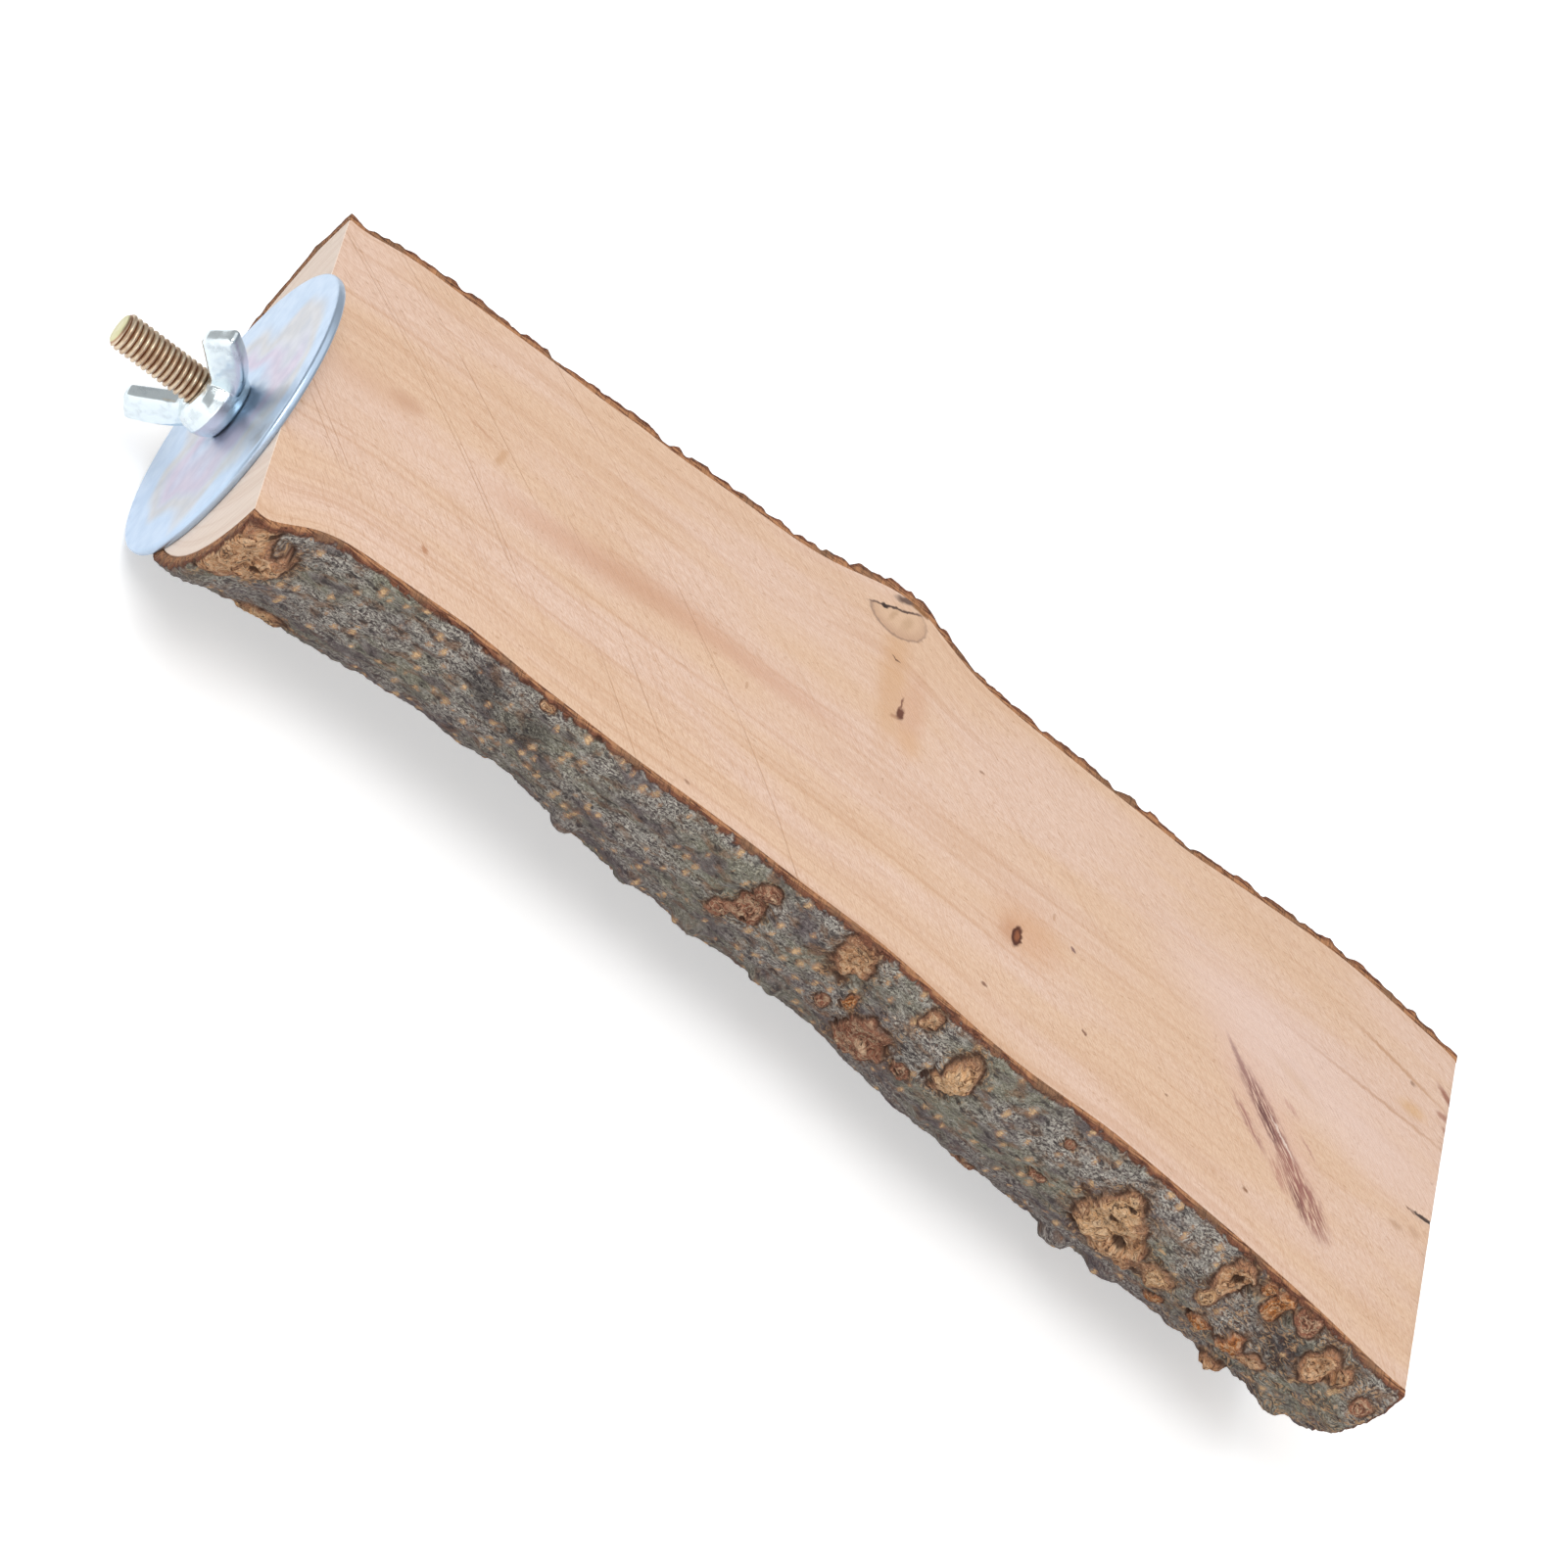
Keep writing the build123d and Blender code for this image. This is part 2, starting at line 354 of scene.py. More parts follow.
        # The blade's arcs lie one behind another along the feed, so one number tells them apart.
        lean = add(Kind.MATH, (split, "Y"), self.blade_curve, self.blade_lean, operation="MULTIPLY_ADD")
        blade = add(Kind.MATH, (split, "Y"), lean, (split, "X"), operation="MULTIPLY_ADD")
        swath = add(Kind.JOIN, blade, (split, "Y"))
        lines = grain(swath, (self.blade_gap, 26, 1), 3)
        torn = add(Kind.EASE, grain(swath, (0.42, 2.4, 1), 2), 0.56, 0.72)
        nap = grain(swath, (0.34, 0.8, 1), 3)
        scratch = self.scratch_mask(shader, blade, grain(swath, (9, 24, 1), 1))
        colour = add(Kind.BLEND, add(Kind.EASE, lines, 0.52, 0.72, 0.0, 0.22), colour, self.late)
        fuzzy = add(Kind.EASE, grain(point, (22, 15, 22), 2), 0.36, 0.62, 0.08, 0.42)
        broken = add(Kind.MATH, torn, fuzzy, operation="MULTIPLY")
        colour = add(Kind.BLEND, broken, colour, self.late)
        colour = add(Kind.BLEND, add(Kind.EASE, nap, 0.36, 0.66, 0.0, 0.34), colour, self.late)
        colour = add(Kind.BLEND, scratch, colour, self.scored)
        # The sawn ends are paler and show the rings as arcs; the top's marks reach a little way down them.
        deep, thin = self.end_skin
        near = add(Kind.EASE, (split, "X"), deep, thin)
        far = add(Kind.EASE, (split, "X"), length - deep, length - thin)
        ends = add(Kind.MATH, near, far, operation="MAXIMUM")
        pale = add(Kind.BLEND, 0.9, colour, self.end)
        pale = add(Kind.BLEND, add(Kind.EASE, growth, 0.44, 0.66, 0.0, 0.17), pale, self.late)
        plain = add(Kind.BLEND, ends, colour, pale)
        colour, marked = self.add_marks(shader, point, swath, plain)
        near_top = add(Kind.EASE, (split, "Z"), 6.0, 15.5)
        colour = add(Kind.BLEND, near_top, plain, colour)
        marked = add(Kind.MATH, marked, near_top, operation="MULTIPLY")
        height = add(Kind.MATH, lines, 0.6, nap, operation="MULTIPLY_ADD")
        height = add(Kind.MATH, scratch, -1.6, height, operation="MULTIPLY_ADD")
        height = add(Kind.MATH, broken, -0.9, height, operation="MULTIPLY_ADD")
        height = add(Kind.MATH, marked, -0.5, height, operation="MULTIPLY_ADD")
        bump = add(Kind.BUMP, sockets={"Strength": 0.7, "Distance": 0.14 * MM, "Height": height})
        return shader.finish(Base_Color=colour, Roughness=0.72, Specular_IOR_Level=0.3, Normal=bump)

    def scratch_mask(self, shader: Shader, blade: Any, fade: Any) -> bpy.types.Node:
        """Thin dark lines where single teeth cut deeper.

        Args:
            shader: Material that takes the nodes.
            blade: Number that is the same along one arc of the blade.
            fade: Noise that breaks the lines.

        Returns:
            Node with the strength of the lines, from 0.
        """
        deepest: Any = 0.0
        wander = shader.add(Kind.MATH, fade, 1.6, blade, operation="MULTIPLY_ADD")
        for line in self.scratches:
            off = shader.add(Kind.MATH, wander, line + 0.8, operation="SUBTRACT")
            off = shader.add(Kind.MATH, off, operation="ABSOLUTE")
            cut = shader.add(Kind.EASE, off, 0.26, 0.04)
            deepest = shader.add(Kind.MATH, deepest, cut, operation="MAXIMUM")
        shown = shader.add(Kind.EASE, fade, 0.36, 0.64, 0.02, 0.42)
        return shader.add(Kind.MATH, deepest, shown, operation="MULTIPLY")

    def add_marks(self, shader: Shader, point: Any, swath: Any, colour: Any) -> tuple[Any, Any]:
        """Lay the natural marks over the wood.

        Args:
            shader: Material that takes the nodes.
            point: The point in millimetres.
            swath: The point in the blade's own coordinates, along which stains are drawn out.
            colour: Colour so far.

        Returns:
            The colour with the marks, and how deep the dark ones are.
        """
        ragged = shader.grain(point, (1.0, 1.0, 1.0), 3)
        ragged = shader.add(Kind.VECTOR, (ragged, "Color"), (-0.5, -0.5, -0.5), operation="ADD")
        frayed = shader.add(Kind.VECTOR, ragged, (1.0, 1.0, 1.0), point, operation="MULTIPLY_ADD")
        drawn = shader.add(Kind.EASE, shader.grain(swath, (0.45, 2.4, 1), 3), 0.38, 0.56, 0.10, 1.0)
        deep: Any = 0.0
        for mark in self.marks:
            half = (mark.length / 2, mark.width / 2, 1000.0)
            turn = (0.0, 0.0, math.radians(mark.turn))
            centre = (mark.x, mark.y, 0.0)
            local = shader.add(Kind.MAPPING, frayed, centre, turn, half, vector_type="TEXTURE")
            reach = shader.add(Kind.VECTOR, local, operation="LENGTH")
            share = shader.add(Kind.EASE, (reach, "Value"), 1 + mark.soft, 1 - mark.soft, 0.0, mark.strength)
            if mark.flat_side < 1:
                side = shader.add(Kind.SPLIT, local)
                cut = shader.add(Kind.EASE, (side, "Y"), mark.flat_side + 0.04, mark.flat_side - 0.04)
                share = shader.add(Kind.MATH, share, cut, operation="MULTIPLY")
            if mark.streaky:
                share = shader.add(Kind.MATH, share, drawn, operation="MULTIPLY")
            colour = shader.add(Kind.BLEND, share, colour, mark.colour)
            if mark.is_deep:
                deep = shader.add(Kind.MATH, deep, share, operation="MAXIMUM")
        return colour, deep


@dataclass(frozen=True)
class BarkSkin:
    """Young tree bark: matt grey-green felt of fine strokes, tan pores, bare inner bark in its scars."""

    name: str = "tree bark"
    valley: str = "#594F4D"
    ridge: str = "#CAC3B8"
    purple_and_shade: str = "#63565A"
    moss: str = "#87866F"
    lichen_and_highlight: str = "#B8B4AC"
    earth: str = "#86664E"
    # The soot colour also serves as painted shade in the low places of the folds.
    soot: str = "#383132"
    lenticel: str = "#DDB98E"
    umber: str = "#9C7152"
    light: str = "#E8CBA8"
    pale: str = "#D0A276"
    tan: str = "#C39169"
    orange: str = "#B46F38"
    rust: str = "#98654E"
    crevice: str = "#472D21"
    rind_inner: str = "#BC8760"
    rind_outer: str = "#855640"
    rind_dark: str = "#5C372A"
    torn_zone: tuple[float, float] = (176.0, 198.0)

    def material(self) -> bpy.types.Material:
        """The bark as a material that reads the piece's skin map and its scar attributes.

        Returns:
            The material.
        """
        shader = Shader(bpy.data.materials.new(self.name))
        add, grain = shader.add, shader.grain
        sheet = add(Kind.UV_MAP, uv_map="skin")
        sheet = add(Kind.VECTOR, sheet, 1 / MM, operation="SCALE")
        scar, tone, pit, soot, rind = (
            (add(Kind.ATTRIBUTE, attribute_name=name), "Fac") for name in Bark.FIELDS
        )
        # A felt of fine curled strokes, which follow the contours of a smoother noise.
        felt = grain(sheet, (0.55, 0.40, 1), 3)
        swirl = grain(sheet, (2.6, 1.7, 1), 2)
        phase = add(Kind.MATH, felt, 4.0, operation="MULTIPLY")
        phase = add(Kind.MATH, swirl, 95.0, phase, operation="MULTIPLY_ADD")
        stroke = add(Kind.MATH, phase, operation="SINE")
        tangle = add(Kind.MATH, stroke, 0.09, felt, operation="MULTIPLY_ADD")
        folds = grain(sheet, (2.0, 1.2, 1), 2)
        colour = add(Kind.BLEND, add(Kind.EASE, tangle, 0.34, 0.70), self.valley, self.ridge)
        # Patches of green, pale lichen, purple and brown, a few millimetres to a few centimetres long.
        for hue, size, low, high, most in (
            (self.moss, (17, 11, 2), 0.44, 0.60, 0.60), (self.lichen_and_highlight, (5.0, 3.2, 1), 0.56, 0.72, 0.50),
            (self.purple_and_shade, (8.5, 5.0, 3), 0.50, 0.66, 0.75), (self.earth, (3.6, 2.4, 4), 0.51, 0.66, 0.70),
        ):
            spread = add(Kind.MATH, stroke, 0.03, grain(sheet, size, 3), operation="MULTIPLY_ADD")
            colour = add(Kind.BLEND, add(Kind.EASE, spread, low, high, 0.0, most), colour, hue)
        smut = add(Kind.MATH, soot, add(Kind.EASE, tangle, 0.35, 0.65, 1.0, 0.55), operation="MULTIPLY")
        colour = add(Kind.BLEND, smut, colour, self.soot)
        # Painted shade and painted highlight: the low places of the folds, which the bump also sinks, are
        # darkened with the soot colour, and their high places are lightened with the lichen colour.
        colour = add(Kind.BLEND, add(Kind.EASE, folds, 0.46, 0.32, 0.0, 0.75), colour, self.soot)
        colour = add(Kind.BLEND, add(Kind.EASE, folds, 0.54, 0.70, 0.0, 0.40), colour, self.lichen_and_highlight)
        girth = add(Kind.SPLIT, sheet)
        # Painted shade: the bark darkens towards purple round the keel, on the underside where less light
        # falls.
        below = add(Kind.MATH, (girth, "Y"), 90 * Bark.girth_per_degree, operation="PINGPONG")
        colour = add(Kind.BLEND, add(Kind.EASE, below, 12.0, 28.0, 0.0, 0.35), colour, self.purple_and_shade)
        # Lenticels: one in most cells of a net of 2.2 by 3.6 mm, longer round the log than along it.
        net = add(Kind.VECTOR, sheet, (2.2, 3.6, 1.0), operation="DIVIDE")
        cells = add(Kind.CELLS, net, 1.0, voronoi_dimensions="2D")
        draw = add(Kind.SPLIT_COLOUR, (cells, "Color"))
        size = add(Kind.EASE, (draw, "Red"), 0.25, 1.0, -0.05, 0.34)
        reach = add(Kind.MATH, (cells, "Distance"), size, operation="SUBTRACT")
        reach = add(Kind.MATH, tangle, 0.6, reach, operation="MULTIPLY_ADD")
        pore = add(Kind.EASE, reach, 0.36, 0.12, 0.0, 0.7)
        colour = add(Kind.BLEND, pore, colour, self.umber)
        colour = add(Kind.BLEND, add(Kind.EASE, reach, 0.22, 0.04, 0.0, 0.9), colour, self.lenticel)
        # Scars: bare mottled inner bark with light and dark arcs, a dark lip that is painted shade in the
        # groove round each scar, a brown halo and dark pits.
        crumbs = grain(sheet, (1.3, 1.0, 1), 3, distortion=0.5)
        ringed = add(Kind.MATH, crumbs, 22.0, operation="MULTIPLY")
        ringed = add(Kind.MATH, scar, 15.0, ringed, operation="MULTIPLY_ADD")
        ringed = add(Kind.MATH, ringed, operation="SINE")
        rows = add(Kind.MATH, ringed, 0.05, crumbs, operation="MULTIPLY_ADD")
        flesh = add(Kind.BLEND, add(Kind.EASE, tone, 0.0, 0.35), self.pale, self.tan)
        flesh = add(Kind.BLEND, add(Kind.EASE, tone, 0.35, 0.65), flesh, self.orange)
        flesh = add(Kind.BLEND, add(Kind.EASE, tone, 0.65, 1.0), flesh, self.rust)
        flesh = add(Kind.BLEND, add(Kind.EASE, rows, 0.48, 0.70, 0.0, 0.65), flesh, self.light)
        flesh = add(Kind.BLEND, add(Kind.EASE, rows, 0.45, 0.30, 0.0, 0.65), flesh, self.crevice)
        flesh = add(Kind.BLEND, add(Kind.EASE, ringed, -0.50, -0.95, 0.0, 0.42), flesh, self.light)
        raised = add(Kind.EASE, folds, 0.38, 0.54, 0.0, 0.85)
        arcs = add(Kind.MATH, add(Kind.EASE, ringed, 0.50, 0.95), raised, operation="MULTIPLY")
        flesh = add(Kind.BLEND, arcs, flesh, self.crevice)
        edge = add(Kind.MATH, rows, 0.24, scar, operation="MULTIPLY_ADD")
        # Round the scars and towards the far end the skin is torn into light flakes and dark cracks.
        peel = add(Kind.MATH, crumbs, 5.0, operation="MULTIPLY")
        peel = add(Kind.MATH, swirl, 38.0, peel, operation="MULTIPLY_ADD")
        peel = add(Kind.MATH, peel, operation="SINE")
        round_scars = add(Kind.EASE, edge, -0.70, 0.0)
        far_end = add(Kind.EASE, (girth, "X"), *self.torn_zone, 0.0, 0.8)
        torn = add(Kind.MATH, round_scars, far_end, operation="MAXIMUM")
        in_places = add(Kind.EASE, grain(sheet, (3.4, 2.2, 6), 2), 0.40, 0.56)
        torn = add(Kind.MATH, torn, in_places, operation="MULTIPLY")
        flakes = add(Kind.MATH, torn, add(Kind.EASE, peel, 0.35, 0.95, 0.0, 0.7), operation="MULTIPLY")
        colour = add(Kind.BLEND, flakes, colour, self.pale)
        cracks = add(Kind.MATH, torn, add(Kind.EASE, peel, -0.30, -0.90, 0.0, 0.8), operation="MULTIPLY")
        colour = add(Kind.BLEND, cracks, colour, self.crevice)
        colour = add(Kind.BLEND, add(Kind.EASE, edge, -0.33, 0.13, 0.0, 0.5), colour, self.earth)
        # Painted shade: the dark lip lies in the groove that the mesh sinks round each scar.
        raised = add(Kind.EASE, folds, 0.38, 0.52, 0.0, 0.9)
        lip_shade = add(Kind.MATH, add(Kind.EASE, edge, -0.13, 0.05), raised, operation="MULTIPLY")
        colour = add(Kind.BLEND, lip_shade, colour, self.crevice)
        bare = add(Kind.EASE, edge, 0.04, 0.24)
        flesh = add(Kind.BLEND, add(Kind.EASE, edge, 0.52, 0.16, 0.0, 0.6), flesh, self.rust)
        colour = add(Kind.BLEND, bare, colour, flesh)
        hole = add(Kind.MATH, crumbs, 0.6, pit, operation="MULTIPLY_ADD")
        colour = add(Kind.BLEND, add(Kind.EASE, hole, 0.36, 0.66, 0.0, 0.90), colour, self.crevice)
        # The cut edge: inner bark by the wood, darker and broken towards the skin.
        strands = grain(shader.place(), (3.0, 0.45, 0.45), 4)
        worn = add(Kind.MATH, strands, 0.5, rind, operation="MULTIPLY_ADD")
        band = add(Kind.BLEND, add(Kind.EASE, worn, 0.90, 1.08), self.rind_outer, self.rind_inner)
        band = add(Kind.BLEND, add(Kind.EASE, strands, 0.52, 0.38, 0.0, 0.85), band, self.rind_dark)
        soiled = add(Kind.EASE, grain(sheet, (8, 3, 1), 3), 0.48, 0.62, 0.0, 0.7)
        band = add(Kind.BLEND, soiled, band, self.earth)
        broken = add(Kind.MATH, rows, 1.1, rind, operation="MULTIPLY_ADD")
        colour = add(Kind.BLEND, add(Kind.EASE, broken, 0.74, 0.98, 0.0, 0.85), colour, self.rind_dark)
        colour = add(Kind.BLEND, add(Kind.EASE, broken, 0.98, 1.08), colour, band)
        height = add(Kind.MATH, folds, 1.3, tangle, operation="MULTIPLY_ADD")
        height = add(Kind.MATH, rows, bare, height, operation="MULTIPLY_ADD")
        height = add(Kind.MATH, pore, 0.35, height, operation="MULTIPLY_ADD")
        height = add(Kind.MATH, flakes, 0.5, height, operation="MULTIPLY_ADD")
        bump = add(Kind.BUMP, sockets={"Strength": 1.0, "Distance": 0.7 * MM, "Height": height})
        return shader.finish(Base_Color=colour, Roughness=0.85, Specular_IOR_Level=0.25, Normal=bump)


@dataclass(frozen=True)
class ZincCoat:
    """Zinc plate on forged steel: a bright blue-grey metal, smooth, with a little grime in patches."""

    name: str = "bright zinc on forged steel"
    base: str = "#DEE8EC"
    dull: str = "#96A2AC"
    rough: float = 0.20
    peel: float = 2.2
    peel_depth: float = 0.15
    grime: float = 0.30

    def material(self) -> bpy.types.Material:
        """The coat as a metal whose grime and peel have real sizes.

        Returns:
            The material.
        """
        shader = Shader(bpy.data.materials.new(self.name))
        point = shader.place()
        patches = shader.grain(point, (2.4, 2.4, 2.4), 2)
        grime = shader.add(Kind.EASE, patches, 0.50, 0.72, 0.0, self.grime)
        colour = shader.add(Kind.BLEND, grime, self.tint(shader, point), self.dull)
        rough = shader.add(Kind.EASE, patches, 0.3, 0.7, self.rough - 0.05, self.rough + 0.08)
        skin = shader.grain(point, (self.peel, self.peel, self.peel), 1)
        depth = self.peel_depth * MM
        bump = shader.add(Kind.BUMP, sockets={"Strength": 0.6, "Distance": depth, "Height": skin})
        return shader.finish(Base_Color=colour, Metallic=1.0, Roughness=rough, Normal=bump)

    def tint(self, shader: Shader, point: Any) -> Any:
        """Colour of the clean plate."""
        return self.base


@dataclass(frozen=True)
class PassivatedZinc(ZincCoat):
    """Clear-passivated zinc on a stamped washer: pale blue-white, with faint rings of pink and straw."""

    name: str = "clear zinc on stamped steel"
    base: str = "#B9CCE1"
    dull: str = "#AEBED0"
    rough: float = 0.36
    peel: float = 8.0
    peel_depth: float = 0.02
    grime: float = 0.12
    pink: str = "#C5B8C9"
    straw: str = "#C2C0C0"
    pink_ring: float = 11.0
    straw_ring: float = 16.0
    wander: float = 24.0
    spread: float = 5.0

    def tint(self, shader: Shader, point: Any) -> Any:
        """Blue-white with the rings of colour that the bath leaves round the hole.

        Args:
            shader: Material that takes the nodes.
            point: The point in millimetres.

        Returns:
            The colour.
        """
        flat = shader.add(Kind.VECTOR, point, (0.0, 1.0, 1.0), operation="MULTIPLY")
        radius = shader.add(Kind.VECTOR, flat, operation="LENGTH")
        clouds = shader.grain(point, (13, 13, 13), 1)
        ring = shader.add(Kind.MATH, clouds, self.wander, (radius, "Value"), operation="MULTIPLY_ADD")
        ring = shader.add(Kind.MATH, ring, self.wander / 2, operation="SUBTRACT")
        colour: Any = self.base
        for centre, hue in ((self.pink_ring, self.pink), (self.straw_ring, self.straw)):
            off = shader.add(Kind.MATH, ring, centre, operation="SUBTRACT")
            off = shader.add(Kind.MATH, off, operation="ABSOLUTE")
            share = shader.add(Kind.EASE, off, self.spread, 0.0, 0.0, 0.85)
            colour = shader.add(Kind.BLEND, share, colour, hue)
        return colour


@dataclass(frozen=True)
class YellowZinc:
    """Yellow-passivated zinc on a rolled thread: pale straw gold on the crests, brown in the roots."""

    name: str = "yellow zinc"
    crest: str = "#D3C2AA"
    gold: str = "#B99F85"
    root: str = "#98674E"
    tip: str = "#D3D2AA"
    root_radius: float = 2.42
    tip_at: float = -22.0

    def material(self) -> bpy.types.Material:
        """The thread's metal, coloured by how far a point is from the axis.

        Returns:
            The material.
        """
        shader = Shader(bpy.data.materials.new(self.name))
        add, grain = shader.add, shader.grain
        point = shader.place()
        split = add(Kind.SPLIT, point)
        radius = add(Kind.VECTOR, point, (0.0, 1.0, 1.0), operation="MULTIPLY")
        radius = add(Kind.VECTOR, radius, operation="LENGTH")
        stain = grain(point, (1.8, 1.8, 1.8), 3)
        colour = add(Kind.BLEND, add(Kind.EASE, stain, 0.35, 0.65), self.crest, self.gold)
        depth = add(Kind.EASE, (radius, "Value"), self.root_radius + 0.26, self.root_radius + 0.02, 0.0, 0.85)
        colour = add(Kind.BLEND, depth, colour, self.root)
        tip = add(Kind.EASE, (split, "X"), self.tip_at, self.tip_at - 0.25, 0.0, 0.9)
        colour = add(Kind.BLEND, tip, colour, self.tip)
        rough = add(Kind.EASE, stain, 0.3, 0.7, 0.36, 0.50)
        skin = grain(point, (0.35, 0.35, 0.35), 2)
        bump = add(Kind.BUMP, sockets={"Strength": 0.15, "Distance": 0.04 * MM, "Height": skin})
        return shader.finish(Base_Color=colour, Metallic=1.0, Roughness=rough, Normal=bump)


def as_piece(
    name: str, mesh: bmesh.types.BMesh, material: bpy.types.Material, sharp: float
) -> bpy.types.Object:
    """Turn a finished bmesh into a piece at the origin.

    Args:
        name: Name of the piece.
        mesh: Bmesh in metres, freed here.
        material: Its finish.
        sharp: Angle in degrees past which an edge is shaded sharp.

    Returns:
        The piece's object.
    """
    bmesh.ops.recalc_face_normals(mesh, faces=mesh.faces)
    for face in mesh.faces:
        face.smooth = True
    data = bpy.data.meshes.new(name)
    mesh.to_mesh(data)
    mesh.free()
    data.set_sharp_from_angle(angle=math.radians(sharp))
    data.materials.append(material)
    piece = bpy.data.objects.new(name, data)
    bpy.context.scene.collection.objects.link(piece)
    return piece


def settle(piece: bpy.types.Object, body: Body, node: str) -> None:
    """Put a piece on its body in place of the solid it stands for, and report it.

    Args:
        piece: The finished piece.
        body: Body that it rides on.
        node: Name of the solid.
    """
    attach(piece, body.value)
    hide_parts(node)
    LOG.info("%s: %d faces on %s", piece.name, len(piece.data.polygons), body.value)


def each(items: Iterable[Any]) -> list[Any]:
    """Each of some items once, in an order that is the same in every run."""
    return list(dict.fromkeys(items))


def verts_of(made: dict[str, list]) -> list[bmesh.types.BMVert]:
    """The vertices among what an operator made."""
    return [item for item in made["geom"] if isinstance(item, bmesh.types.BMVert)]


def edges_of(made: dict[str, list]) -> list[bmesh.types.BMEdge]:
    """The edges among what an operator made."""
    return [item for item in made["geom"] if isinstance(item, bmesh.types.BMEdge)]


class LogForm:
    """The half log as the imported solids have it, read by casting rays at their skins."""

    REACH = 90.0
    INSET = 0.03

    def __init__(self) -> None:
        """Read the log's sizes and make its skins ready for the rays."""
        graph = bpy.context.evaluated_depsgraph_get()
        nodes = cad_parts
        self.trees = {name: BVHTree.FromObject(nodes[name], graph) for name in ("wood_slab", "bark")}
        low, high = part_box("wood_slab")
        self.length = high.x / MM
        self.top = high.z / MM
        self.depth = (high.z - low.z) / MM

    def skin(self, node: str, x: float, around: float) -> Vector:
        """Point on the outside of a solid, in millimetres.

        Args:
            node: Name of the solid.
            x: Place along the log.
            around: Degrees round it from the front edge.

        Returns:
            The point, with x as asked for.
        """
        turn = math.radians(around)
        out = Vector((0, -math.cos(turn), -math.sin(turn)))
        inside = min(max(x, self.INSET), self.length - self.INSET)
        start = Vector((inside, 0, self.top - self.INSET)) + out * self.REACH
        found = self.trees[node].ray_cast(start * MM, -out)[0]
        if found is None:
            raise ValueError(f"no skin of {node} at {x:.2f} mm, {around:.1f} degrees")
        return Vector((x, found.y / MM, found.z / MM))

    def edge(self, x: float, around: float) -> float:
        """Distance across the log from the bolt's plane to the wood's front (0) or back (180) edge."""
        return abs(self.skin("wood_slab", x, around).y)


